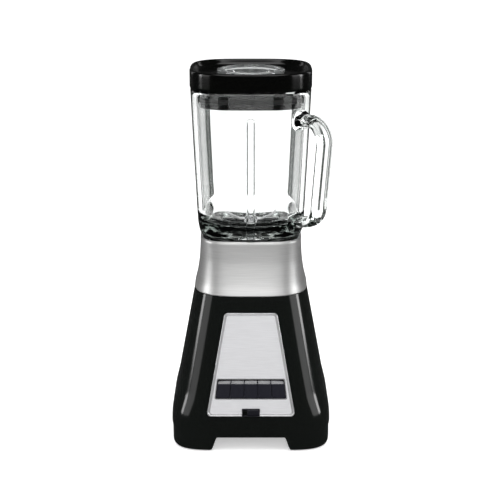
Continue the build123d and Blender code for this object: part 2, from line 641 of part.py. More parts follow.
# ---------------------------------------------------------------- lid
with BuildPart() as lid:
    with BuildSketch(Plane.XY.offset(LID_BOTTOM)):
        bowed_square(LID_HALF, 38.5)
    extrude(amount=LID_TOP - LID_BOTTOM)
    fillet(lid.faces().sort_by(Axis.Z)[-1].edges(), 3.0)
    with BuildSketch(Plane.XY.offset(LID_DECK_TOP)):
        bowed_square(LID_HALF - 6.5, 33.0)
    extrude(amount=LID_TOP - LID_DECK_TOP, mode=Mode.SUBTRACT)
    with BuildSketch(Plane.XY.offset(LID_SKIRT_BOTTOM)):
        bowed_square(LID_SKIRT_HALF, 30.0)
    extrude(amount=LID_BOTTOM - LID_SKIRT_BOTTOM)
    with BuildSketch(Plane.XY.offset(LID_SKIRT_BOTTOM)):
        bowed_square(LID_SKIRT_HALF - 2.5, 27.5)
    extrude(amount=LID_DECK_BOTTOM - LID_SKIRT_BOTTOM, mode=Mode.SUBTRACT)
    # Tube around the filler opening.
    with BuildSketch(Plane.XY.offset(LID_BOTTOM - 5)):
        Circle(CAP_R + 3.2)
    extrude(amount=LID_DECK_BOTTOM - LID_BOTTOM + 5)
    with BuildSketch(Plane.XY.offset(LID_BOTTOM - 5)):
        Circle(CAP_R + 0.7)
    extrude(amount=LID_TOP - LID_BOTTOM + 5, mode=Mode.SUBTRACT)
    # Groove for the seal.
    with BuildSketch(Plane.XY.offset(SEAL_BOTTOM)):
        bowed_square(LID_SKIRT_HALF + 2, 32.0)
        bowed_square(LID_SKIRT_HALF - 1, 29.0, mode=Mode.SUBTRACT)
    extrude(amount=SEAL_TALL, mode=Mode.SUBTRACT)
save(lid, "lid")

with BuildPart() as lid_seal:
    with BuildSketch(Plane.XY.offset(SEAL_BOTTOM)):
        bowed_square(LID_SKIRT_HALF + 0.6, 30.6)
        bowed_square(LID_SKIRT_HALF - 1, 29.0, mode=Mode.SUBTRACT)
    extrude(amount=SEAL_TALL)
save(lid_seal, "lid_seal")

with BuildPart() as filler_cap:
    with BuildSketch(Plane.XZ):
        with BuildLine() as cap_profile:
            Polyline((0, CAP_BOTTOM), (CAP_R - 2.0, CAP_BOTTOM), (CAP_R, CAP_BOTTOM + 10),
                     (CAP_R, LID_DECK_TOP + GAP), (CAP_RIM_R, LID_DECK_TOP + GAP), (CAP_RIM_R, CAP_TOP),
                     (CAP_R - 1.5, CAP_TOP), (CAP_R - 4.5, CAP_BOTTOM + 2.5), (0, CAP_BOTTOM + 2.5),
                     close=True)
        make_face(cap_profile.edges())
    revolve(axis=Axis.Z)
save(filler_cap, "filler_cap")

# ---------------------------------------------------------------- motor rotor
with BuildPart() as motor_shaft:
    with BuildSketch(Plane.XY.offset(SHAFT_BOTTOM)):
        Circle(SHAFT_R)
    extrude(amount=SEAT_FLOOR - SHAFT_BOTTOM)
save(motor_shaft, "motor_shaft")

with BuildPart() as drive_stud:
    with BuildSketch(Plane.XY.offset(STUD_BOTTOM)):
        Circle(10.0)
        Circle(SHAFT_R, mode=Mode.SUBTRACT)
    extrude(amount=SEAT_FLOOR - STUD_BOTTOM)
    with BuildSketch(Plane.XY.offset(SEAT_FLOOR)):
        RectangleRounded(STUD_SQUARE, STUD_SQUARE, 1.2)
    extrude(amount=COUPLING_FLOOR - SEAT_FLOOR - 1.0)
save(drive_stud, "drive_stud")

with BuildPart() as armature_core:
    with BuildSketch(Plane.XY.offset(STACK_BOTTOM)):
        Circle(ROTOR_R)
        Circle(SHAFT_R, mode=Mode.SUBTRACT)
        with PolarLocations(ROTOR_R - 3.5, ARMATURE_SLOTS):
            SlotOverall(8.0, 2.4, mode=Mode.SUBTRACT)
    extrude(amount=STACK_TOP - STACK_BOTTOM)
save(armature_core, "armature_core")

with BuildPart() as armature_windings:
    for bottom, tall in ((STACK_BOTTOM - 6.0, 6.0), (STACK_TOP, 8.0)):
        with BuildSketch(Plane.XY.offset(bottom)):
            Circle(ROTOR_R - 2.5)
            Circle(SHAFT_R, mode=Mode.SUBTRACT)
        extrude(amount=tall)
    with BuildSketch(Plane.XY.offset(STACK_BOTTOM)):
        with PolarLocations(ROTOR_R - 3.5, ARMATURE_SLOTS):
            SlotOverall(7.2, 2.4)
    extrude(amount=STACK_TOP - STACK_BOTTOM)
save(armature_windings, "armature_windings")

with BuildPart() as commutator:
    with BuildSketch(Plane.XY.offset(51.0)):
        Circle(COMMUTATOR_R)
        Circle(SHAFT_R, mode=Mode.SUBTRACT)
        with PolarLocations(COMMUTATOR_R, 22):
            Rectangle(1.2, 0.5, mode=Mode.SUBTRACT)
    extrude(amount=12.0)
save(commutator, "commutator")

with BuildPart() as cooling_fan:
    with BuildSketch(Plane.XY.offset(FAN_Z)):
        Circle(FAN_R)
        Circle(SHAFT_R, mode=Mode.SUBTRACT)
    extrude(amount=1.6)
    with BuildSketch(Plane.XY.offset(FAN_Z + 1.6)):
        Circle(9.0)
        Circle(SHAFT_R, mode=Mode.SUBTRACT)
        with PolarLocations((FAN_R + 11.0) / 2, 9):
            Rectangle(FAN_R - 11.0, 1.6, rotation=18)
    extrude(amount=8.0)
save(cooling_fan, "cooling_fan")

# ---------------------------------------------------------------- motor stator, brackets and brushes
with BuildPart() as stator_core:
    with BuildSketch(Plane.XY.offset(STACK_BOTTOM)):
        RectangleRounded(2 * MOTOR_X, 2 * MOTOR_Y, 8.0)
        RectangleRounded(2 * (MOTOR_X - 9), 2 * (MOTOR_Y - 10), 6.0, mode=Mode.SUBTRACT)
        Rectangle(2 * POLE_NECK, 2 * (MOTOR_Y - 8))
        with BuildLine() as pole_shoes:
            for side in (-1, 1):
                Polyline((-POLE_SHOE, side * 13.0), (POLE_SHOE, side * 13.0), (POLE_SHOE, side * 25.0),
                         (-POLE_SHOE, side * 25.0), close=True)
        make_face(pole_shoes.edges()[0:4])
        make_face(pole_shoes.edges()[4:8])
        Circle(ROTOR_R + 0.6, mode=Mode.SUBTRACT)
        with GridLocations(2 * BOLT_X, 2 * BOLT_Y, 2, 2):
            Circle(BOLT_R, mode=Mode.SUBTRACT)
    extrude(amount=STACK_TOP - STACK_BOTTOM)
save(stator_core, "stator_core")

with BuildPart() as field_coils:
    for side in (-1, 1):
        with BuildSketch(Plane.XZ.offset(-side * 29.5 - 4.0)):
            with Locations((0, (STACK_BOTTOM + STACK_TOP) / 2)):
                RectangleRounded(46.0, STACK_TOP - STACK_BOTTOM + 18, 6.0)
                Rectangle(2 * POLE_NECK, STACK_TOP - STACK_BOTTOM, mode=Mode.SUBTRACT)
        extrude(amount=8.0)
save(field_coils, "field_coils")

# (name, bearing boss's underside, legs' underside, legs' height); each plate is halfway up its boss.
LEGS_Z = LOWER_BEARING_Z + BEARING_TALL
for name, boss_z, leg_z, leg_tall in (("lower_bracket", LOWER_BEARING_Z, LEGS_Z, STACK_BOTTOM - LEGS_Z),
                                      ("upper_bracket", UPPER_BEARING_Z, STACK_TOP, 22.0)):
    plate_z = boss_z + BEARING_TALL / 2
    with BuildPart() as bracket:
        with BuildSketch(Plane.XY.offset(plate_z)):
            RectangleRounded(2 * MOTOR_X, 2 * MOTOR_Y, 8.0)
            with PolarLocations(27, 4, 45):
                Circle(8.0, mode=Mode.SUBTRACT)
        extrude(amount=4.0)
        with BuildSketch(Plane.XY.offset(boss_z)):
            Circle(BEARING_R + 3.5)
        extrude(amount=BEARING_TALL)
        with BuildSketch(Plane.XY.offset(boss_z)):
            Circle(BEARING_R)
        extrude(amount=BEARING_TALL, mode=Mode.SUBTRACT)
        with BuildSketch(Plane.XY.offset(leg_z)):
            with GridLocations(2 * BOLT_X, 2 * BOLT_Y, 2, 2):
                Circle(4.6)
        extrude(amount=leg_tall)
        with BuildSketch(Plane.XY.offset(plate_z - 30)):
            with GridLocations(2 * BOLT_X, 2 * BOLT_Y, 2, 2):
                Circle(BOLT_R)
        extrude(amount=80, mode=Mode.SUBTRACT)
    save(bracket, name)

for name, bottom in (("lower_bearing", LOWER_BEARING_Z), ("upper_bearing", UPPER_BEARING_Z)):
    with BuildPart() as bearing:
        with BuildSketch(Plane.XY.offset(bottom)):
            Circle(BEARING_R)
            Circle(SHAFT_R + RUNNING, mode=Mode.SUBTRACT)
        extrude(amount=BEARING_TALL)
    save(bearing, name)

with BuildPart() as brush_holders:
    for side in (-1, 1):
        with BuildSketch(Plane.XY.offset(48.0)):
            with Locations((side * 25.0, 0)):
                Rectangle(22.0, 9.0)
        extrude(amount=14.0)
        with BuildSketch(Plane.YZ):
            with Locations((0, BRUSH_Z)):
                Rectangle(BRUSH, BRUSH)
        extrude(amount=side * 40.0, mode=Mode.SUBTRACT)
save(brush_holders, "brush_holders")

with BuildPart() as carbon_brushes:
    for side in (-1, 1):
        with BuildSketch(Plane.YZ.offset(side * (COMMUTATOR_R + 0.3))):
            with Locations((0, BRUSH_Z)):
                Rectangle(BRUSH, BRUSH)
        extrude(amount=side * 18.0)
save(carbon_brushes, "carbon_brushes")

with BuildPart() as motor_mounts:
    with BuildSketch(Plane.XY.offset(38.0)):
        with GridLocations(2 * BOLT_X, 2 * BOLT_Y, 2, 2):
            Circle(6.5)
            Circle(BOLT_R, mode=Mode.SUBTRACT)
    extrude(amount=6.0)
save(motor_mounts, "motor_mounts")

with BuildPart() as motor_bolts:
    with BuildSketch(Plane.XY.offset(30.0)):
        with GridLocations(2 * BOLT_X, 2 * BOLT_Y, 2, 2):
            Circle(BOLT_R)
    extrude(amount=96.0)
    with BuildSketch(Plane.XY.offset(126.0)):
        with GridLocations(2 * BOLT_X, 2 * BOLT_Y, 2, 2):
            RegularPolygon(3.6, 6)
    extrude(amount=3.0)
save(motor_bolts, "motor_bolts")
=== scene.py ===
"""Looks of the countertop blender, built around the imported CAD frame.

Lengths are written in millimetres and turned into metres by MM. The front faces -Y.
"""
import bmesh
import bpy
import json
import math
from mathutils import Matrix, Vector

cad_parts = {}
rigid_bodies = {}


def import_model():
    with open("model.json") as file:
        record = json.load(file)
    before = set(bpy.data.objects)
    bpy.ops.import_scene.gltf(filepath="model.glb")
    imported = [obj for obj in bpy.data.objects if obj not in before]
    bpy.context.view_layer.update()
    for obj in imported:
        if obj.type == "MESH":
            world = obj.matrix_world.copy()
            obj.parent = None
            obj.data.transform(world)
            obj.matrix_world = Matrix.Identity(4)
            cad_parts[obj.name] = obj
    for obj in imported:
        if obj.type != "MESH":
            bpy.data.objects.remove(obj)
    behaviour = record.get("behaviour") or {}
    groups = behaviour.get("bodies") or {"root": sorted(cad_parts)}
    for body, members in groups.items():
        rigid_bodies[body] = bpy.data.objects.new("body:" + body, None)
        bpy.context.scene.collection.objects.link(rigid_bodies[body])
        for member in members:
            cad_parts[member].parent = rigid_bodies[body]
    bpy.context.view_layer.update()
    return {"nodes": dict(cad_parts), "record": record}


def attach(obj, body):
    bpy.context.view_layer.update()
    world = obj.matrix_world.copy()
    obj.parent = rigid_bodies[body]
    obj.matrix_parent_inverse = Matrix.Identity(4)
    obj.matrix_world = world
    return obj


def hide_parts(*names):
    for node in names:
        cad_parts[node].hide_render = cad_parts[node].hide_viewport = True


for leftover in list(bpy.data.objects):
    bpy.data.objects.remove(leftover)
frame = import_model()
nodes = frame["nodes"]

MM = 0.001
AROUND = 480                  # points around a bowed ring
ROUND = 96                    # points around a small turned piece
AXIS_R = 0.02                 # stands in for a radius of nought

# Places that repeat the CAD model's, in millimetres.
SKIRT_BOTTOM = 1.0
ARCH_TOP = 15.0
ARCH_HALF = 43.0
ARCH_RISE = 7.0               # width of the slope from a foot up to the arch
DECK_TOP = 162.0
DECK_HALF = 60.0
SLOPE_Z = 60.0                # the base's sides are straight from here up to the deck
SLOPE_HALF = 79.35
WALL = 3.5
LEAN = math.atan((SLOPE_HALF - DECK_HALF) / (DECK_TOP - SLOPE_Z))
PANEL_MID_Z = 93.0
PANEL_MID_Y = -(SLOPE_HALF - (PANEL_MID_Z - SLOPE_Z) * math.tan(LEAN))
PANEL_TOP = 53.4
PANEL_BOTTOM = -54.4
PANEL_TOP_HALF = 27.0
PANEL_BOTTOM_HALF = 46.0
KEY_COUNT = 5
KEY_GAP = 0.2
KEY_PROUD = 0.9
KEY_BEVEL = 3.3               # length of the bevel along a key's top
KEY_SLOPE = 0.6               # its fall for each millimetre
KEY_CORNER = 1.4
KEY_TOP = -17.1
KEY_BOTTOM = -35.5
KEY_ROW_TOP_HALF = 34.1
KEY_ROW_BOTTOM_HALF = 36.6
SWITCH_TOP = -46.3
SWITCH_HALF = 9.3
POCKET_TOP = -44              # the housing's opening behind the switch
POCKET_HALF = 8.9
NOTCH_TOP = -47               # the gap that the switch leaves in the frame
NOTCH_HALF = 9.1
KNOB_LEFT = -3.8
KNOB_RIGHT = 8.1
KNOB_MARGIN = 1.2             # from the surround's outline to the knob, above and below
DIAGONAL = math.radians(-45)


# ---------------------------------------------------------------- mesh helpers
def make_object(name, verts, faces):
    """A mesh object from points in millimetres."""
    mesh = bpy.data.meshes.new(name)
    mesh.from_pydata([Vector(v) * MM for v in verts], [], faces)
    mesh.validate()
    obj = bpy.data.objects.new(name, mesh)
    bpy.context.scene.collection.objects.link(obj)
    return obj


def outward(obj):
    """Turns every face of a closed mesh outwards."""
    bm = bmesh.new()
    bm.from_mesh(obj.data)
    bmesh.ops.recalc_face_normals(bm, faces=bm.faces)
    bm.to_mesh(obj.data)
    bm.free()


def smooth(obj, angle):
    """Smooth shading, with edges sharper than angle degrees left crisp."""
    for poly in obj.data.polygons:
        poly.use_smooth = True
    obj.data.set_sharp_from_angle(angle=math.radians(angle))


def loft(name, rows, wrap=False, angle=35):
    """Skins equal-length closed rows of points; wrap joins the last row to the first."""
    count = len(rows[0])
    verts = [point for row in rows for point in row]
    faces = []
    last = len(rows) if wrap else len(rows) - 1
    for r in range(last):
        a = r * count
        b = ((r + 1) % len(rows)) * count
        for k in range(count):
            m = (k + 1) % count
            faces.append((a + k, a + m, b + m, b + k))
    if not wrap:
        faces.append(tuple(range(count)))
        faces.append(tuple(range((len(rows) - 1) * count, len(rows) * count)))
    obj = make_object(name, verts, faces)
    outward(obj)
    smooth(obj, angle)
    return obj


def bowed_radius(half, power, theta):
    """Distance from the axis to a bowed square's outline in the direction theta."""
    c = abs(math.cos(theta))
    s = abs(math.sin(theta))
    return half / (c ** power + s ** power) ** (1 / power)


def bowed_row(half, power, z, count=AROUND):
    """A closed row of points: a square that bows out more as power falls to 2, a circle."""
    row = []
    for k in range(count):
        theta = 2 * math.pi * k / count
        r = bowed_radius(half, power, theta)
        row.append((r * math.cos(theta), r * math.sin(theta), z))
    return row


def smooth_value(table, x):
    """Monotone cubic interpolation in a table of (x, value) pairs sorted by x."""
    if x <= table[0][0]:
        return table[0][1]
    if x >= table[-1][0]:
        return table[-1][1]
    slopes = [(table[i + 1][1] - table[i][1]) / (table[i + 1][0] - table[i][0])
              for i in range(len(table) - 1)]
    i = max(k for k in range(len(table) - 1) if table[k][0] <= x)

    def tangent(k):
        if k == 0:
            return slopes[0]
        if k == len(table) - 1:
            return slopes[-1]
        if slopes[k - 1] * slopes[k] <= 0:
            return 0.0
        return 2 / (1 / slopes[k - 1] + 1 / slopes[k])

    (x0, y0), (x1, y1) = table[i], table[i + 1]
    h = x1 - x0
    t = (x - x0) / h
    return ((1 + 2 * t) * (1 - t) ** 2 * y0 + t * (1 - t) ** 2 * h * tangent(i)
            + t * t * (3 - 2 * t) * y1 + t * t * (t - 1) * h * tangent(i + 1))


def ease(low, high, x):
    """0 below low, 1 above high, and a smooth step between."""
    t = min(1.0, max(0.0, (x - low) / (high - low)))
    return t * t * (3 - 2 * t)


def steps(low, high, count):
    """count values from low to high, both included."""
    return [low + (high - low) * k / (count - 1) for k in range(count)]


def turned(name, profile, angle):
    """A turned piece: profile is (radius, height) pairs, closed over the axis."""
    rows = [bowed_row(max(r, AXIS_R), 2.0, z, ROUND) for r, z in profile]
    return loft(name, rows, angle=angle)


def cut(obj, tool, operation="DIFFERENCE"):
    """Applies a boolean with tool and removes the tool."""
    modifier = obj.modifiers.new("cut", "BOOLEAN")
    modifier.operation = operation
    modifier.object = tool
    modifier.solver = "EXACT"
    bake(obj)
    bpy.data.objects.remove(tool)


def bake(obj):
    """Applies an object's modifiers to its mesh."""
    bpy.context.view_layer.update()
    graph = bpy.context.evaluated_depsgraph_get()
    mesh = bpy.data.meshes.new_from_object(obj.evaluated_get(graph))
    obj.modifiers.clear()
    old = obj.data
    obj.data = mesh
    bpy.data.meshes.remove(old)


def bevelled_box(name, low, high, width, place):
    """A box with rounded edges between two corners, in millimetres, moved by place."""
    bm = bmesh.new()
    bmesh.ops.create_cube(bm, size=1.0)
    for v in bm.verts:
        v.co = Vector([low[i] + (v.co[i] + 0.5) * (high[i] - low[i]) for i in range(3)])
    bmesh.ops.bevel(bm, geom=bm.edges[:], offset=width, segments=3, affect="EDGES", profile=0.5)
    for v in bm.verts:
        v.co = (place @ v.co) * MM
    mesh = bpy.data.meshes.new(name)
    bm.to_mesh(mesh)
    bm.free()
    obj = bpy.data.objects.new(name, mesh)
    bpy.context.scene.collection.objects.link(obj)
    smooth(obj, 40)
    return obj


def panel_point(x, v, w):
    """A point of the leaning front panel: x across, v up it and w out of it."""
    return (x,
            PANEL_MID_Y + v * math.sin(LEAN) - w * math.cos(LEAN),
            PANEL_MID_Z + v * math.cos(LEAN) + w * math.sin(LEAN))


def rounded_outline(corners, radius, steps_per_corner=8):
    """Points of a convex outline, given anticlockwise, with its corners rounded."""
    points = []
    count = len(corners)
    for k in range(count):
        here = Vector(corners[k])
        before = (Vector(corners[k - 1]) - here).normalized()
        after = (Vector(corners[(k + 1) % count]) - here).normalized()
        half_angle = before.angle(after) / 2
        centre = here + (before + after).normalized() * (radius / math.sin(half_angle))
        first = here + before * (radius / math.tan(half_angle)) - centre
        last = here + after * (radius / math.tan(half_angle)) - centre
        sweep = first.angle_signed(last) if radius > 0 else 0
        for j in range(steps_per_corner + 1):
            turn = Matrix.Rotation(-sweep * j / steps_per_corner, 2)
            points.append(centre + turn @ first)
    return points


def box_outline(left, right, low, high, radius, steps_per_corner=8):
    """The outline of an upright rectangle with rounded corners."""
    return rounded_outline([(left, low), (right, low), (right, high), (left, high)], radius,
                           steps_per_corner)


def panel_half(v):
    """Half width of the panel frame's outline at height v."""
    share = (PANEL_TOP - v) / (PANEL_TOP - PANEL_BOTTOM)
    return PANEL_TOP_HALF + share * (PANEL_BOTTOM_HALF - PANEL_TOP_HALF)


def panel_outline(margin, radius):
    """The panel frame's outline, moved in by margin."""
    top = PANEL_TOP - margin
    bottom = PANEL_BOTTOM + margin
    low = panel_half(bottom) - margin
    high = panel_half(top) - margin
    return rounded_outline([(-low, bottom), (low, bottom), (high, top), (-high, top)], radius)


def panel_rows(outlines):
    """Rows on the panel from (outline, w) pairs."""
    return [[panel_point(p[0], p[1], w) for p in outline] for outline, w in outlines]


# ---------------------------------------------------------------- materials
def material(name, color, metallic=0.0, roughness=0.4, **sockets):
    """A Principled material; other keyword names are socket names with _ for spaces."""
    mat = bpy.data.materials.new(name)
    mat.use_nodes = True
    bsdf = mat.node_tree.nodes["Principled BSDF"]
    bsdf.inputs["Base Color"].default_value = (*color, 1.0)
    bsdf.inputs["Metallic"].default_value = metallic
    bsdf.inputs["Roughness"].default_value = roughness
    for key, value in sockets.items():
        bsdf.inputs[key.replace("_", " ")].default_value = value
    return mat


def noise(mat, scale, stretch=(1, 1, 1), detail=4.0):
    """A noise texture in object space, stretched per axis; returns its node."""
    tree = mat.node_tree
    coord = tree.nodes.new("ShaderNodeTexCoord")
    mapping = tree.nodes.new("ShaderNodeMapping")
    mapping.inputs["Scale"].default_value = stretch
    tex = tree.nodes.new("ShaderNodeTexNoise")
    tex.inputs["Scale"].default_value = scale
    tex.inputs["Detail"].default_value = detail
    tree.links.new(coord.outputs["Object"], mapping.inputs["Vector"])
    tree.links.new(mapping.outputs["Vector"], tex.inputs["Vector"])
    return tex


def vary_roughness(mat, tex, low, high):
    """Roughness follows a texture between low and high."""
    tree = mat.node_tree
    ramp = tree.nodes.new("ShaderNodeMapRange")
    ramp.inputs["To Min"].default_value = low
    ramp.inputs["To Max"].default_value = high
    tree.links.new(tex.outputs["Fac"], ramp.inputs["Value"])
    tree.links.new(ramp.outputs["Result"], tree.nodes["Principled BSDF"].inputs["Roughness"])


def vary_color(mat, tex, dark, light):
    """Base colour follows a texture between two colours."""
    tree = mat.node_tree
    ramp = tree.nodes.new("ShaderNodeValToRGB")
    ramp.color_ramp.elements[0].position = 0.3
    ramp.color_ramp.elements[0].color = (*dark, 1)
    ramp.color_ramp.elements[1].position = 0.7
    ramp.color_ramp.elements[1].color = (*light, 1)
    tree.links.new(tex.outputs["Fac"], ramp.inputs["Fac"])
    tree.links.new(ramp.outputs["Color"], tree.nodes["Principled BSDF"].inputs["Base Color"])


def bump(mat, tex, strength, distance):
    """Bump from a texture, distance in metres."""
    tree = mat.node_tree
    node = tree.nodes.new("ShaderNodeBump")
    node.inputs["Strength"].default_value = strength
    node.inputs["Distance"].default_value = distance
    tree.links.new(tex.outputs["Fac"], node.inputs["Height"])
    tree.links.new(node.outputs["Normal"], tree.nodes["Principled BSDF"].inputs["Normal"])


def gloss_black():
    mat = material("gloss_black", (0.0035, 0.0042, 0.0038), roughness=0.12, Specular_IOR_Level=0.42)
    vary_roughness(mat, noise(mat, 30), 0.09, 0.15)
    bump(mat, noise(mat, 220, detail=2.0), 0.03, 0.0002)
    return mat


def lid_black():
    mat = material("lid_black", (0.0006, 0.0007, 0.0006), roughness=0.15, Specular_IOR_Level=0.4)
    vary_roughness(mat, noise(mat, 40), 0.12, 0.18)
    bump(mat, noise(mat, 900, detail=3.0), 0.05, 0.0002)
    return mat


def jar_glass_material():
    """Clear soda glass; the absorption darkens it where the eye looks along a wall."""
    mat = material("jar_glass", (1.0, 1.0, 1.0), roughness=0.0, IOR=1.5, Transmission_Weight=1.0)
    bump(mat, noise(mat, 35, detail=1.0), 0.04, 0.0006)
    absorption = mat.node_tree.nodes.new("ShaderNodeVolumeAbsorption")
    absorption.inputs["Color"].default_value = (0.28, 0.36, 0.32, 1)
    absorption.inputs["Density"].default_value = 16.0
    mat.node_tree.links.new(absorption.outputs["Volume"],
                            mat.node_tree.nodes["Material Output"].inputs["Volume"])
    return mat


def clear_plastic():
    mat = material("clear_plastic", (0.80, 0.82, 0.82), roughness=0.08, IOR=1.5,
                   Transmission_Weight=0.93)
    vary_roughness(mat, noise(mat, 60), 0.04, 0.14)
    return mat


def brushed_metal():
    mat = material("brushed_metal", (0.50, 0.50, 0.505), metallic=0.85, roughness=0.42)
    lines = noise(mat, 40, stretch=(1, 1, 60), detail=6.0)
    vary_roughness(mat, lines, 0.34, 0.46)
    vary_color(mat, lines, (0.60, 0.60, 0.595), (0.70, 0.70, 0.695))
    bump(mat, lines, 0.12, 0.0001)
    return mat


def panel_silver():
    mat = material("panel_silver", (0.6, 0.6, 0.615), metallic=0.35, roughness=0.42)
    lines = noise(mat, 60, stretch=(1, 40, 40), detail=5.0)
    vary_roughness(mat, lines, 0.38, 0.5)
    vary_color(mat, lines, (0.58, 0.58, 0.595), (0.66, 0.66, 0.675))
    return mat


def chrome_trim():
    mat = material("chrome_trim", (0.62, 0.62, 0.63), metallic=0.7, roughness=0.2)
    vary_roughness(mat, noise(mat, 80), 0.15, 0.25)
    return mat


def key_black():
    mat = material("key_black", (0.005, 0.005, 0.009), roughness=0.36, Specular_IOR_Level=0.45)
    bump(mat, noise(mat, 1500, detail=2.0), 0.12, 0.0001)
    vary_roughness(mat, noise(mat, 200), 0.3, 0.42)
    return mat


def rubber(name, color):
    mat = material(name, color, roughness=0.75)
    bump(mat, noise(mat, 1200), 0.2, 0.0002)
    vary_roughness(mat, noise(mat, 150), 0.65, 0.85)
    return mat


def inner_plastic():
    mat = material("inner_plastic", (0.02, 0.02, 0.021), roughness=0.45)
    bump(mat, noise(mat, 1000), 0.12, 0.0002)
    vary_roughness(mat, noise(mat, 90), 0.38, 0.52)
    return mat


def metal(name, color, rough, grain=300, stretch=(1, 1, 1)):
    mat = material(name, color, metallic=1.0, roughness=rough)
    tex = noise(mat, grain, stretch=stretch)
    vary_roughness(mat, tex, rough * 0.8, rough * 1.25)
    vary_color(mat, tex, tuple(c * 0.92 for c in color), tuple(min(1, c * 1.06) for c in color))
    return mat


def white_print():
    mat = material("white_print", (0.62, 0.63, 0.63), roughness=0.5)
    vary_roughness(mat, noise(mat, 400), 0.45, 0.6)
    return mat


MATERIALS = {
    "gloss_black": gloss_black(),
    "lid_black": lid_black(),
    "clear_plastic": clear_plastic(),
    "jar_glass": jar_glass_material(),
    "brushed_metal": brushed_metal(),
    "panel_silver": panel_silver(),
    "chrome_trim": chrome_trim(),
    "key_black": key_black(),
    "black_rubber": rubber("black_rubber", (0.012, 0.012, 0.012)),
    "grey_rubber": rubber("grey_rubber", (0.3, 0.3, 0.31)),
    "inner_plastic": inner_plastic(),
    "blade_steel": metal("blade_steel", (0.62, 0.62, 0.63), 0.22, 500, (1, 12, 1)),
    "bronze": metal("bronze", (0.55, 0.36, 0.16), 0.35),
    "screw_steel": metal("screw_steel", (0.5, 0.5, 0.51), 0.3),
    "lamination": metal("lamination", (0.13, 0.13, 0.14), 0.5, 200, (1, 1, 30)),
    "copper": metal("copper", (0.6, 0.25, 0.12), 0.35, 120, (1, 1, 12)),
    "bracket_aluminium": metal("bracket_aluminium", (0.6, 0.6, 0.61), 0.45),
    "carbon": rubber("carbon", (0.02, 0.02, 0.022)),
}
PRINT = white_print()
# A darker, duller copy of the panel's silver: painted shade for the sloping lip round the key slot,
# standing in for the shadowed recess wall above the keys.
PAINTED_SHADE = material("recess_painted_shade", (0.16, 0.16, 0.165), metallic=0.2, roughness=0.4)
vary_roughness(PAINTED_SHADE, noise(PAINTED_SHADE, 300), 0.34, 0.46)

# Every carried-over CAD node gets its slot's material.
for subpart in frame["record"]["subparts"]:
    node = nodes[subpart["node"]]
    node.data.materials.clear()
    node.data.materials.append(MATERIALS[subpart["material_slot"]])


def finish_piece(obj, slot, body, *replaced):
    """Gives a piece its material, its body and the CAD nodes that it stands for."""
    obj.data.materials.clear()
    obj.data.materials.append(PRINT if slot == "print" else MATERIALS[slot])
    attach(obj, body)
    if replaced:
        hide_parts(*replaced)


# ---------------------------------------------------------------- base shell
SKIRT_POWER = 5.8
DECK_POWER = 3.6
# Tables of (height, half width) and of (height, power of the outline).
BASE_HALF = [(22.2, 84.0), (30.0, 83.9), (37.0, 83.35), (45.0, 82.15), (SLOPE_Z, SLOPE_HALF),
             (110.0, 69.86), (DECK_TOP, DECK_HALF)]
BASE_POWER = [(22.0, SKIRT_POWER), (36.0, 5.4), (SLOPE_Z, 4.5), (DECK_TOP, DECK_POWER)]
SKIRT_HALF = 83.1
SKIRT_TOP = 20.4
SKIRT_INSIDE = 3.0            # the skirt's wall
SKIRT_INSIDE_TOP = 20.0
DRIVE_HOLE_R = 13.0
DECK_INSIDE_HALF = 56.0
SLIM = 0.018                  # how much narrower than deep the base and collar are
EDGE_R = 2.6                  # rounding of the skirt's lower edge
CORD_HOLE_R = 6.0
CORD_Z = 28.5


def slimmed(rows):
    """The base and collar are a little narrower than deep, above the foot."""
    return [[(x * (1 - SLIM * ease(26.0, 60.0, z)), y, z) for x, y, z in row] for row in rows]


def arch_bottom(x, y):
    """Height of the skirt's lower edge: low at the corner feet, high in the arch of each side."""
    along = min(abs(x), abs(y))
    return ARCH_TOP - (ARCH_TOP - SKIRT_BOTTOM) * ease(ARCH_HALF - ARCH_RISE, ARCH_HALF, along)


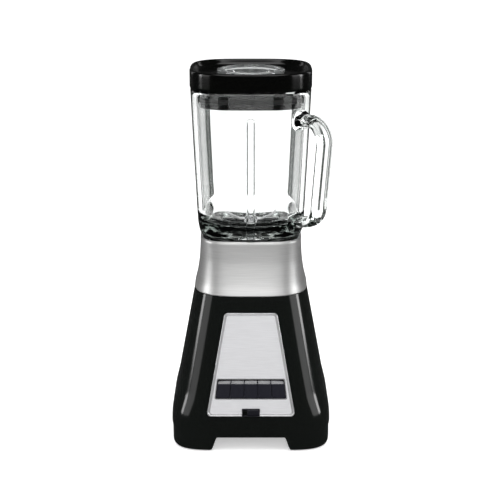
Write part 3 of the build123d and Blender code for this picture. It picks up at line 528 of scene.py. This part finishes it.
def base_shell():
    rows = []

    def skirt_row(inset, place):
        """A row of the skirt: place gives the height from the lower edge's height."""
        row = []
        for x, y, _ in bowed_row(SKIRT_HALF, SKIRT_POWER, 0):
            shrink = (SKIRT_HALF - inset) / SKIRT_HALF
            row.append((x * shrink, y * shrink, place(arch_bottom(x, y))))
        rows.append(row)

    for k in range(8):
        turn = math.radians(90 * k / 7)
        skirt_row(EDGE_R * (1 - math.sin(turn)), lambda low, t=turn: low + EDGE_R * (1 - math.cos(t)))
    for share in (0.25, 0.5, 0.75, 1.0):
        skirt_row(0, lambda low, s=share: low + EDGE_R + s * (SKIRT_TOP - low - EDGE_R))
    for z, half in ((20.8, 83.2), (21.3, 83.5), (21.8, 83.85), (22.2, 84.0)):
        rows.append(bowed_row(half, SKIRT_POWER, z))
    for z in steps(24.0, DECK_TOP - 1.0, 60):
        rows.append(bowed_row(smooth_value(BASE_HALF, z), smooth_value(BASE_POWER, z), z))
    for half, power, z in ((DECK_HALF, DECK_POWER, DECK_TOP), (DRIVE_HOLE_R, 2.0, DECK_TOP),
                           (DRIVE_HOLE_R, 2.0, DECK_TOP - WALL),
                           (DECK_INSIDE_HALF, DECK_POWER, DECK_TOP - WALL)):
        rows.append(bowed_row(half, power, z))
    for z in steps(DECK_TOP - 10, 24.0, 12):
        rows.append(bowed_row(smooth_value(BASE_HALF, z) - WALL, smooth_value(BASE_POWER, z), z))
    skirt_row(SKIRT_INSIDE, lambda low: SKIRT_INSIDE_TOP)
    skirt_row(SKIRT_INSIDE, lambda low: low + 0.3)
    shell = loft("base_shell", slimmed(rows), wrap=True, angle=40)
    # Opening behind the front panel, and the shallow place of the switch.
    opening = panel_outline(4.5, 3.0)
    cut(shell, loft("opening", panel_rows([(opening, -15), (opening, 15)])))
    pocket = box_outline(-POCKET_HALF, POCKET_HALF, PANEL_BOTTOM + 0.4, POCKET_TOP, 0.5)
    cut(shell, loft("pocket", panel_rows([(pocket, -2.0), (pocket, 12)])))
    # Cord outlet in the back.
    outlet = bpy.data.objects.new("outlet", bpy.data.meshes.new("outlet"))
    bm = bmesh.new()
    bmesh.ops.create_cone(bm, cap_ends=True, segments=48, radius1=CORD_HOLE_R * MM,
                          radius2=CORD_HOLE_R * MM, depth=30 * MM,
                          matrix=Matrix.Translation((0, 80 * MM, CORD_Z * MM))
                          @ Matrix.Rotation(math.pi / 2, 4, "X"))
    bm.to_mesh(outlet.data)
    bm.free()
    bpy.context.scene.collection.objects.link(outlet)
    cut(shell, outlet)
    smooth(shell, 40)
    finish_piece(shell, "gloss_black", "base", "base_housing")


# ---------------------------------------------------------------- front panel
def panel():
    profile = [(0.0, -1.8), (0.0, 0.35), (0.12, 0.65), (0.35, 0.85), (0.7, 0.9), (1.0, 0.8), (1.2, 0.5),
               (1.35, 0.3), (1.6, 0.25), (1.75, 0.35), (1.95, 0.55), (2.3, 0.6), (2.6, 0.5), (2.8, 0.2),
               (2.8, -1.8)]
    rows = panel_rows([(panel_outline(m, max(0.6, 4.0 - m * 0.6)), w) for m, w in profile])
    trim = loft("panel_trim", rows, wrap=True, angle=50)
    notch = box_outline(-NOTCH_HALF, NOTCH_HALF, PANEL_BOTTOM - 4, NOTCH_TOP, 0.3)
    cut(trim, loft("notch", panel_rows([(notch, -6), (notch, 6)])))
    smooth(trim, 50)
    finish_piece(trim, "chrome_trim", "base", "panel_frame")


def slot_bezel():
    """The sloping lip round the key slot."""
    def slot_outline(out):
        return rounded_outline([(-KEY_ROW_BOTTOM_HALF - 0.4 - out, KEY_BOTTOM - 0.4 - out),
                                (KEY_ROW_BOTTOM_HALF + 0.4 + out, KEY_BOTTOM - 0.4 - out),
                                (KEY_ROW_TOP_HALF + 0.4 + out, KEY_TOP + 1.6 + out),
                                (-KEY_ROW_TOP_HALF - 0.4 - out, KEY_TOP + 1.6 + out)], 1.2 + out)
    profile = [(0.7, 0.19), (0.6, 0.32), (0.3, 0.34), (0.1, 0.2), (0.02, -0.2), (0.0, -1.7),
               (0.2, -1.75)]
    bezel = loft("key_slot_bezel", panel_rows([(slot_outline(o), w) for o, w in profile]), wrap=True,
                 angle=50)
    finish_piece(bezel, "panel_silver", "base")
    # The lip gets the darker grey in place of the panel's silver: painted shade in the recess round the
    # keys.
    bezel.data.materials[0] = PAINTED_SHADE


def keys():
    """Five keys with a long bevel along their tops, and rounded ends to the row."""
    flat_top = KEY_TOP - KEY_BEVEL
    levels = [KEY_BOTTOM, KEY_BOTTOM + 0.1, KEY_BOTTOM + 0.3, KEY_BOTTOM + 0.6, KEY_BOTTOM + 1.0,
              KEY_BOTTOM + 1.6, -30, -26, flat_top - 0.6, flat_top - 0.2, flat_top + 0.2, flat_top + 0.6,
              KEY_TOP - 1.2, KEY_TOP - 0.6, KEY_TOP - 0.2, KEY_TOP]
    for number in range(KEY_COUNT):
        rows = []
        for v in levels:
            share = (v - KEY_BOTTOM) / (KEY_TOP - KEY_BOTTOM)
            half = KEY_ROW_BOTTOM_HALF + share * (KEY_ROW_TOP_HALF - KEY_ROW_BOTTOM_HALF)
            left = (2 * number / KEY_COUNT - 1) * half + KEY_GAP
            right = (2 * (number + 1) / KEY_COUNT - 1) * half - KEY_GAP
            near_end = min(v - KEY_BOTTOM, KEY_TOP - v)
            tuck = KEY_CORNER - math.sqrt(KEY_CORNER ** 2 - max(0.0, KEY_CORNER - near_end) ** 2)
            if number == 0:
                left += tuck
            if number == KEY_COUNT - 1:
                right -= tuck
            face = KEY_PROUD - KEY_SLOPE * max(0.0, v - flat_top)
            face -= 0.6 * (1 - ease(-0.3, 0.8, v - KEY_BOTTOM))
            section = [(left, -2.5), (right, -2.5), (right, face - 0.5), (right - 0.06, face - 0.22),
                       (right - 0.2, face - 0.07), (right - 0.45, face), (left + 0.45, face),
                       (left + 0.2, face - 0.07), (left + 0.06, face - 0.22), (left, face - 0.5)]
            rows.append([panel_point(x, v, w) for x, w in section])
        key = loft(f"key_cap_{number + 1}", rows, angle=50)
        finish_piece(key, "key_black", f"key_{number + 1}", f"key_{number + 1}")


def range_switch():
    mid = (SWITCH_TOP + PANEL_BOTTOM) / 2
    tall = (SWITCH_TOP - PANEL_BOTTOM) / 2

    def surround_outline(margin):
        half = SWITCH_HALF - margin
        rise = tall - margin
        return box_outline(-half, half, mid - rise, mid + rise, max(0.4, 1.2 - margin), 5)

    profile = [(0.0, -1.8), (0.0, 0.7), (0.15, 1.0), (0.35, 1.1), (0.6, 1.0), (0.8, 0.7), (0.8, -1.8)]
    rows = panel_rows([(surround_outline(m), w) for m, w in profile])
    surround = loft("switch_frame", rows, wrap=True, angle=50)
    finish_piece(surround, "key_black", "base", "switch_surround")

    def knob_outline(margin):
        return box_outline(KNOB_LEFT + margin, KNOB_RIGHT - margin, mid - tall + KNOB_MARGIN + margin,
                           mid + tall - KNOB_MARGIN - margin, 0.6, 5)

    profile = [(0.0, -1.2), (0.0, 0.9), (0.15, 1.25), (0.45, 1.45), (1.0, 1.5)]
    knob = loft("switch_knob", panel_rows([(knob_outline(m), w) for m, w in profile]), angle=50)
    finish_piece(knob, "key_black", "range_knob", "range_knob")
    for k in range(3):
        x = 0.15 + 2.0 * k
        outline = box_outline(x, x + 0.7, mid - 2.6, mid + 2.6, 0.2, 3)
        ridge = loft(f"switch_ridge_{k + 1}", panel_rows([(outline, 1.3), (outline, 1.75)]), angle=30)
        finish_piece(ridge, "key_black", "range_knob")


# ---------------------------------------------------------------- collar
COLLAR_HALF = [(162.4, 60.5), (166.0, 59.6), (171.0, 58.3), (178.0, 57.0), (184.0, 56.1),
               (191.0, 55.2), (197.0, 54.6), (204.0, 54.2), (211.0, 53.9), (215.4, 53.8)]
COLLAR_FOOT_POWER = 3.3
COLLAR_TOP_POWER = 4.2
COLLAR_POWER = [(162.0, COLLAR_FOOT_POWER), (190.0, 3.75), (218.0, COLLAR_TOP_POWER)]
COLLAR_WALL = 2.6
# The collar's lip is half an ellipse: its middle, half width, foot and height.
LIP_MID, LIP_HALF, LIP_Z, LIP_TALL = 52.4, 1.4, 215.6, 2.8


def collar():
    rows = []
    for half, z in ((58.6, 162.2), (59.9, 162.0), (60.3, 162.15), (60.5, 162.4)):
        rows.append(bowed_row(half, COLLAR_FOOT_POWER, z))
    for z in steps(163.2, 215.4, 40):
        rows.append(bowed_row(smooth_value(COLLAR_HALF, z), smooth_value(COLLAR_POWER, z), z))
    for k in range(1, 9):
        turn = math.radians(180 * k / 8)
        rows.append(bowed_row(LIP_MID + LIP_HALF * math.cos(turn), COLLAR_TOP_POWER,
                              LIP_Z + LIP_TALL * math.sin(turn)))
    for z in steps(213.0, 162.4, 14):
        rows.append(bowed_row(smooth_value(COLLAR_HALF, z) - COLLAR_WALL,
                              smooth_value(COLLAR_POWER, z), z))
    shell = loft("collar_shell", slimmed(rows), wrap=True, angle=60)
    finish_piece(shell, "brushed_metal", "base", "jar_collar")


# ---------------------------------------------------------------- jar
JAR_HALF = [(219.4, 48.0), (220.3, 50.2), (222.0, 52.2), (224.5, 53.6), (228.0, 54.4), (233.0, 55.2),
            (249.0, 56.2), (268.0, 57.1), (293.0, 58.4), (330.0, 60.2), (350.0, 61.1), (370.0, 62.0)]
JAR_INNER = [(246.0, 51.0), (268.0, 52.2), (293.0, 53.5), (330.0, 55.3), (350.0, 56.1), (370.0, 56.8)]
JAR_RIM_POWER = 3.6
JAR_POWER = [(219.0, 3.9), (268.0, 3.85), (370.0, JAR_RIM_POWER)]
JAR_NECK_R = 37.0
JAR_BORE_R = 31.5
# The jar's rim is half an ellipse: its middle, half width, foot and height.
RIM_MID, RIM_HALF, RIM_Z, RIM_TALL = 59.6, 2.4, 370.4, 2.2
RIB_TOP = 347.0
RIB_BOTTOM = 222.0
RIB_HALF = 4.6
RIB_PROUD = 4.2               # how far it stands out of the wall
RIB_ROOT = 1.5                # how far it is let into the wall
RIB_SHOULDER = 0.65            # 1 is a round section, 0 a square one


def rib():
    """The rib moulded down the jar's front, round at its top."""
    levels = list(steps(RIB_BOTTOM, RIB_TOP - RIB_HALF, 50))
    levels += [RIB_TOP - RIB_HALF * (1 - math.sin(math.radians(90 * k / 9))) for k in range(1, 9)]
    rows = []
    for z in levels:
        over = max(0.0, z - (RIB_TOP - RIB_HALF)) / RIB_HALF
        wide = RIB_HALF * math.sqrt(max(0.01, 1 - over * over))
        front = smooth_value(JAR_HALF, z)
        proud = RIB_PROUD * (1 - 0.5 * over * over)
        row = [(-wide, -front + RIB_ROOT, z), (wide, -front + RIB_ROOT, z)]
        for k in range(17):
            turn = math.pi * k / 16
            c, s = math.cos(turn), math.sin(turn)
            row.append((math.copysign(wide * abs(c) ** RIB_SHOULDER, c),
                        -front - proud * s ** RIB_SHOULDER, z))
        rows.append(row)
    return loft("rib", rows, angle=60)


# Corners of the grip's middle line (reach, height), and the radii of its two bends.
GRIP_CORNERS = [(66.8, 343.7), (105.4, 347.5), (94.9, 243.0), (60.6, 237.7)]
GRIP_BENDS = [21.0, 17.0]
GRIP_POWER = 2.5              # how square the grip's section is
GRIP_WIDE = 10.0              # half its width and half its depth
GRIP_DEEP = 5.4
FLARE_WIDE = 0.8              # added to each at the bosses
FLARE_DEEP = 5.4
GRIP_STEP = 2.5


def grip_path():
    """Points (reach, height) along the grip's middle line, from the top boss to the bottom one."""
    corners = [Vector(corner) for corner in GRIP_CORNERS]
    path = [corners[0]]
    for k, radius in enumerate(GRIP_BENDS, start=1):
        before = (corners[k - 1] - corners[k]).normalized()
        after = (corners[k + 1] - corners[k]).normalized()
        half_angle = before.angle(after) / 2
        trim = radius / math.tan(half_angle)
        start = corners[k] + before * trim
        end = corners[k] + after * trim
        centre = corners[k] + (before + after).normalized() * (radius / math.sin(half_angle))
        straight = max(3, int((start - path[-1]).length / GRIP_STEP))
        path += [path[-1].lerp(start, j / straight) for j in range(1, straight)]
        arm = start - centre
        sweep = arm.angle_signed(end - centre)
        path += [centre + Matrix.Rotation(-sweep * j / 16, 2) @ arm for j in range(17)]
    straight = int((corners[3] - path[-1]).length / GRIP_STEP)
    path += [path[-1].lerp(corners[3], j / straight) for j in range(1, straight + 1)]
    return path


def grip():
    """The solid glass grip, swept in the plane of the front right corner's diagonal."""
    path = grip_path()
    rows = []
    for k, point in enumerate(path):
        tangent = (path[min(k + 1, len(path) - 1)] - path[max(k - 1, 0)]).normalized()
        normal = Vector((-tangent[1], tangent[0]))
        along = min((point - path[0]).length, (point - path[-1]).length)
        flare = 1 - ease(3.5, 12.0, along)
        wide = GRIP_WIDE + FLARE_WIDE * flare
        deep = GRIP_DEEP + FLARE_DEEP * flare
        row = []
        for j in range(64):
            theta = 2 * math.pi * j / 64
            r = (abs(math.cos(theta)) ** GRIP_POWER
                 + abs(math.sin(theta)) ** GRIP_POWER) ** (-1 / GRIP_POWER)
            side = wide * r * math.cos(theta)
            out = deep * r * math.sin(theta)
            reach = point[0] + normal[0] * out
            height = point[1] + normal[1] * out
            row.append((reach * math.cos(DIAGONAL) - side * math.sin(DIAGONAL),
                        reach * math.sin(DIAGONAL) + side * math.cos(DIAGONAL), height))
        rows.append(row)
    return loft("grip", rows, angle=80)


def jar():
    rows = []
    for radius, z in ((JAR_BORE_R, 198.2), (34.0, 198.0), (36.6, 198.3), (JAR_NECK_R, 199.0)):
        rows.append(bowed_row(radius, 2.0, z))
    for z in steps(201, 216.5, 6):
        rows.append(bowed_row(JAR_NECK_R, 2.0, z))
    for half, power, z in ((37.3, 2.05, 218.0), (38.5, 2.3, 218.85), (41.5, 2.9, 219.0),
                           (45.0, 3.5, 219.0)):
        rows.append(bowed_row(half, power, z))
    foot = [219.4, 219.8, 220.3, 221.0, 222.0, 223.2, 224.5, 226.0, 228.0, 230.5, 233.0]
    for z in foot + steps(235.0, 370.0, 90):
        rows.append(bowed_row(smooth_value(JAR_HALF, z), smooth_value(JAR_POWER, z), z))
    for k in range(1, 10):
        turn = math.radians(180 * k / 10)
        rows.append(bowed_row(RIM_MID + RIM_HALF * math.cos(turn), JAR_RIM_POWER,
                              RIM_Z + RIM_TALL * math.sin(turn)))
    for z in steps(369.0, 246.0, 40):
        rows.append(bowed_row(smooth_value(JAR_INNER, z), smooth_value(JAR_POWER, z), z))
    for half, power, z in ((50.3, 3.7, 242.0), (49.2, 3.5, 239.0), (47.0, 3.2, 236.0),
                           (43.5, 2.8, 233.0), (39.5, 2.4, 230.5), (35.8, 2.15, 228.6),
                           (33.2, 2.03, 227.2), (31.9, 2.0, 225.5), (JAR_BORE_R, 2.0, 223.0),
                           (JAR_BORE_R, 2.0, 210.0)):
        rows.append(bowed_row(half, power, z))
    body = loft("jar_body", rows, wrap=True, angle=80)
    cut(body, grip(), "UNION")
    cut(body, rib(), "UNION")
    smooth(body, 80)
    finish_piece(body, "jar_glass", "jar", "jar_glass")


def jar_front(x, z):
    """The y of the jar's outer front at x and z."""
    half = smooth_value(JAR_HALF, z)
    power = smooth_value(JAR_POWER, z)
    return -half * (1 - (abs(x) / half) ** power) ** (1 / power)


# Printed cup marks: (cups, height).
MARKS = ((2, 252.0), (3, 275.6), (4, 297.8), (5, 318.5), (6, 338.0))
TICK_X = -17.2
NUMBER_X = 13.7
NUMBER_SIZE = 6.2
NUMBER_DROP = 0.8             # how far a number's middle is below its tick
PRINT_OUT = 0.06              # how far print stands off the glass


def graduations():
    """Printed cup marks: a tick left of the rib and a number right of it."""
    lean = math.atan((smooth_value(JAR_HALF, 330) - smooth_value(JAR_HALF, 268)) / (330 - 268))
    for cups, z in MARKS:
        tick = bevelled_box(f"tick_{cups}", (-2.7, -0.5, -0.03), (2.7, 0.5, 0.05), 0.02,
                            Matrix.Translation((TICK_X, jar_front(TICK_X, z) - PRINT_OUT, z))
                            @ Matrix.Rotation(math.pi / 2 + lean, 4, "X"))
        finish_piece(tick, "print", "jar")
        text = bpy.data.curves.new(f"number_{cups}", "FONT")
        text.body = str(cups)
        text.size = NUMBER_SIZE * MM
        text.extrude = 0.04 * MM
        text.align_x = "CENTER"
        text.align_y = "CENTER"
        holder = bpy.data.objects.new("holder", text)
        bpy.context.scene.collection.objects.link(holder)
        bpy.context.view_layer.update()
        mesh = bpy.data.meshes.new_from_object(
            holder.evaluated_get(bpy.context.evaluated_depsgraph_get()))
        bpy.data.objects.remove(holder)
        place = Vector((NUMBER_X, jar_front(NUMBER_X, z) - PRINT_OUT, z - NUMBER_DROP)) * MM
        mesh.transform(Matrix.Translation(place) @ Matrix.Rotation(math.pi / 2 + lean, 4, "X"))
        mark = bpy.data.objects.new(f"number_{cups}", mesh)
        bpy.context.scene.collection.objects.link(mark)
        finish_piece(mark, "print", "jar")


# ---------------------------------------------------------------- lid and filler cap
LID_HALF = 62.7
LID_POWER = 3.4
LID_RIM_R = 2.2               # rounding of the lid's outer edge
LID_RIM_Z = 389.3
LID_FLOOR = 384.5             # floor of the dish in its top
LID_UNDER = 381.5
CAP_HOLE_R = 29.7
LID_TUBE_R = 32.2
LID_TUBE_Z = 368.0
SKIRT_IN_HALF = 52.1          # inside of the lid's skirt


def lid():
    rows = []
    for half, z in ((61.9, 373.0), (62.4, 373.2), (LID_HALF, 373.9)):
        rows.append(bowed_row(half, LID_POWER, z))
    for z in steps(376, 388.6, 5):
        rows.append(bowed_row(LID_HALF, LID_POWER, z))
    for k in range(1, 13):
        turn = math.radians(90 * k / 12)
        rows.append(bowed_row(LID_HALF - LID_RIM_R + LID_RIM_R * math.cos(turn), LID_POWER,
                              LID_RIM_Z + LID_RIM_R * math.sin(turn)))
    for half, z in ((59.6, 391.4), (58.9, 390.9), (58.4, 390.0), (57.6, 388.0), (56.6, 386.2),
                    (54.9, 385.2), (53.5, 384.6), (51.5, LID_FLOOR)):
        rows.append(bowed_row(half, LID_POWER, z))
    rows.append(bowed_row(40.0, 2.4, LID_FLOOR))
    for radius, z in ((30.2, LID_FLOOR), (29.8, 384.2), (CAP_HOLE_R, 383.5), (CAP_HOLE_R, LID_TUBE_Z),
                      (LID_TUBE_R, LID_TUBE_Z), (LID_TUBE_R, LID_UNDER)):
        rows.append(bowed_row(radius, 2.0, z))
    for z in (LID_UNDER, 354.8):
        rows.append(bowed_row(SKIRT_IN_HALF, JAR_RIM_POWER, z))
    for half, z in ((52.4, 354.6), (54.2, 354.6), (54.6, 355.0), (54.6, 373.0)):
        rows.append(bowed_row(half, LID_POWER, z))
    obj = loft("lid_moulding", rows, wrap=True, angle=45)
    finish_piece(obj, "lid_black", "lid", "lid")


def lid_seal():
    rows = []
    for half, z in ((53.6, 360.2), (54.9, 360.2), (55.3, 360.6), (54.9, 361.2), (54.9, 362.2),
                    (55.3, 362.7), (54.9, 363.3), (54.9, 364.2), (55.2, 364.6), (54.8, 365.0),
                    (53.6, 365.0)):
        rows.append(bowed_row(half, JAR_RIM_POWER, z))
    obj = loft("seal_ring", rows, wrap=True, angle=45)
    finish_piece(obj, "black_rubber", "lid", "lid_seal")


def filler_cap():
    profile = [(0, 362.3), (25.0, 362.3), (26.8, 362.8), (27.6, 364.0), (29.0, 372.0), (29.0, 384.3),
               (29.4, 384.9), (34.0, 384.9), (34.8, 385.3), (35.0, 386.2), (35.0, 387.6), (34.5, 388.6),
               (33.6, 389.0), (29.4, 389.0), (28.4, 388.7), (27.6, 387.8), (24.8, 368.0), (24.0, 366.0),
               (22.6, 365.2), (20.0, 365.0), (0, 365.0)]
    obj = turned("cap_moulding", profile, angle=40)
    finish_piece(obj, "clear_plastic", "filler_cap", "filler_cap")


# ---------------------------------------------------------------- stage, light and camera
def area_light(name, place, target, size, power):
    data = bpy.data.lights.new(name, "AREA")
    data.shape = "RECTANGLE"
    data.size, data.size_y = size
    data.energy = power
    obj = bpy.data.objects.new(name, data)
    obj.location = place
    obj.rotation_euler = (Vector(target) - Vector(place)).to_track_quat("-Z", "Y").to_euler()
    bpy.context.scene.collection.objects.link(obj)
    return obj


def card(name, place, target, size, color):
    """A plain matt card that shows only in what is seen through glass."""
    w, h = size[0] / 2, size[1] / 2
    mesh = bpy.data.meshes.new(name)
    mesh.from_pydata([(-w, -h, 0), (w, -h, 0), (w, h, 0), (-w, h, 0)], [], [(0, 1, 2, 3)])
    obj = bpy.data.objects.new(name, mesh)
    obj.location = place
    obj.rotation_euler = (Vector(target) - Vector(place)).to_track_quat("Z", "Y").to_euler()
    mat = material(name, color, roughness=1.0, Specular_IOR_Level=0.0)
    mesh.materials.append(mat)
    bpy.context.scene.collection.objects.link(obj)
    obj.visible_camera = False
    obj.visible_diffuse = False
    obj.visible_glossy = False
    obj.visible_shadow = False


def math_node(tree, operation, first, second=0.0):
    """A Math node on two inputs, each a socket or a number; returns its output."""
    node = tree.nodes.new("ShaderNodeMath")
    node.operation = operation
    for slot, value in enumerate((first, second)):
        if isinstance(value, float):
            node.inputs[slot].default_value = value
        else:
            tree.links.new(value, node.inputs[slot])
    return node.outputs["Value"]


def mixed(tree, factor, first, second):
    """first + factor * (second - first), each a socket or a number."""
    return math_node(tree, "ADD", first,
                     math_node(tree, "MULTIPLY", factor, math_node(tree, "SUBTRACT", second, first)))


def stage():
    mesh = bpy.data.meshes.new("floor")
    mesh.from_pydata([(-6, -6, 0), (6, -6, 0), (6, 6, 0), (-6, 6, 0)], [], [(0, 1, 2, 3)])
    floor = bpy.data.objects.new("floor", mesh)
    bpy.context.scene.collection.objects.link(floor)
    mat = material("floor", (0.93, 0.93, 0.93), roughness=0.9, Specular_IOR_Level=0.1,
                   Emission_Color=(1, 1, 1, 1), Emission_Strength=0.45)
    mesh.materials.append(mat)
    floor.visible_glossy = False
    world = bpy.data.worlds.new("studio")
    bpy.context.scene.world = world
    world.use_nodes = True
    tree = world.node_tree
    background = tree.nodes["Background"]
    path = tree.nodes.new("ShaderNodeLightPath")
    # Soft light comes from the front and back, and little from the two sides.
    coord = tree.nodes.new("ShaderNodeTexCoord")
    axes = tree.nodes.new("ShaderNodeSeparateXYZ")
    tree.links.new(coord.outputs["Generated"], axes.inputs["Vector"])
    sideways = math_node(tree, "ABSOLUTE", axes.outputs["X"])
    soft = tree.nodes.new("ShaderNodeMapRange")
    soft.inputs["From Min"].default_value = 0.3
    soft.inputs["From Max"].default_value = 0.95
    soft.inputs["To Min"].default_value = 1.0
    soft.inputs["To Max"].default_value = 0.2
    tree.links.new(sideways, soft.inputs["Value"])
    seen_diffuse = mixed(tree, path.outputs["Is Diffuse Ray"], 1.0, soft.outputs["Result"])
    # Reflections see a dark room; what is seen through glass stays white.
    opaque = math_node(tree, "SUBTRACT", 1.0, path.outputs["Is Transmission Ray"])
    reflected = math_node(tree, "MULTIPLY", path.outputs["Is Glossy Ray"], opaque)
    tree.links.new(mixed(tree, reflected, seen_diffuse, 0.03), background.inputs["Strength"])
    background.inputs["Color"].default_value = (1, 1, 1, 1)


def around(azimuth, reach, z):
    """A point at an azimuth in degrees, 0 in front and 90 to the right."""
    turn = math.radians(azimuth)
    return (reach * math.sin(turn), -reach * math.cos(turn), z)


def restrict(light, names, state):
    """Lets a light fall only on the named pieces (INCLUDE), or on all but those (EXCLUDE)."""
    group = bpy.data.collections.new(f"{light.name}_group")
    for name in names:
        group.objects.link(bpy.data.objects[name])
    light.light_linking.receiver_collection = group
    for entry in group.collection_objects:
        entry.light_linking.link_state = state


# Places and sizes of the cards and lights, in metres.
CARD_REACH = 0.72
CARD_Z = 0.46
CARD_SIZE = (0.24, 0.9)
LIGHT_REACH = 1.9
STRIP_TALL = 1.2
RIGHT_STRONGER = 1.25         # how much stronger the strips on the right are
KEYS_PLACE = (0, -0.085, 0.067)
GLINT_PLACE = (0, -0.79, 1.39)


def lights():
    middle = (0, 0, 0.2)
    # Dark cards all round the jar draw the edges of its glass.
    for quarter in range(4):
        for side in (22.5, 67.5):
            azimuth = 90 * quarter + side
            card(f"card_{int(azimuth)}", around(azimuth, CARD_REACH, CARD_Z), (0, 0, CARD_Z),
                 CARD_SIZE, (0.05, 0.055, 0.052))
    # Tall strips draw the streaks down the corners: a bright one, a soft one and a faint edge one.
    for sign in (-1, 1):
        for name, azimuth, wide, radiance in (("bright", 84, 0.42, 8.0), ("soft", 62, 0.95, 1.6),
                                              ("edge", 140, 0.35, 0.7)):
            strength = radiance * (RIGHT_STRONGER if sign > 0 else 1.0)
            strip = area_light(f"{name}_{'left' if sign < 0 else 'right'}",
                               around(sign * azimuth, LIGHT_REACH, 0.72), middle, (wide, STRIP_TALL),
                               strength * math.pi * wide * STRIP_TALL)
            restrict(strip, ["collar_shell"], "EXCLUDE")
    area_light("top", (0, -0.55, 1.65), middle, (1.2, 1.0), 9)
    area_light("front", (0, -2.6, 1.5), middle, (1.6, 0.5), 7)
    # The collar has its own fills, so that its corners and middle are about equally bright.
    for name, azimuth, wide, power in (("fill_front", 0, 2.6, 9.5), ("fill_left", -78, 1.1, 10.0),
                                       ("fill_right", 78, 1.1, 9.5)):
        fill = area_light(name, around(azimuth, LIGHT_REACH, 0.5), middle, (wide, 0.9), power)
        restrict(fill, ["collar_shell"], "INCLUDE")
    # One light is for the bevels along the keys' tops.
    glint = area_light("key_glint", GLINT_PLACE, KEYS_PLACE, (1.2, 0.5), 26)
    restrict(glint, [f"key_cap_{k + 1}" for k in range(KEY_COUNT)], "INCLUDE")


def camera():
    data = bpy.data.cameras.new("camera")
    data.lens = 99.3
    data.sensor_width = 36.0
    obj = bpy.data.objects.new("camera", data)
    obj.location = (0.0, -1.417, 0.580)
    aim = Vector((0, 0, 0.1957))
    obj.rotation_euler = (aim - obj.location).to_track_quat("-Z", "Y").to_euler()
    data.shift_x = -0.0017
    bpy.context.scene.collection.objects.link(obj)
    bpy.context.scene.camera = obj


base_shell()
panel()
slot_bezel()
keys()
range_switch()
collar()
jar()
graduations()
lid()
lid_seal()
filler_cap()
stage()
lights()
camera()
bpy.context.scene.view_settings.view_transform = "Standard"
# Room for rays that cross both of the jar's walls and the grip.
bpy.context.scene.cycles.max_bounces = 24
bpy.context.scene.cycles.transmission_bounces = 24
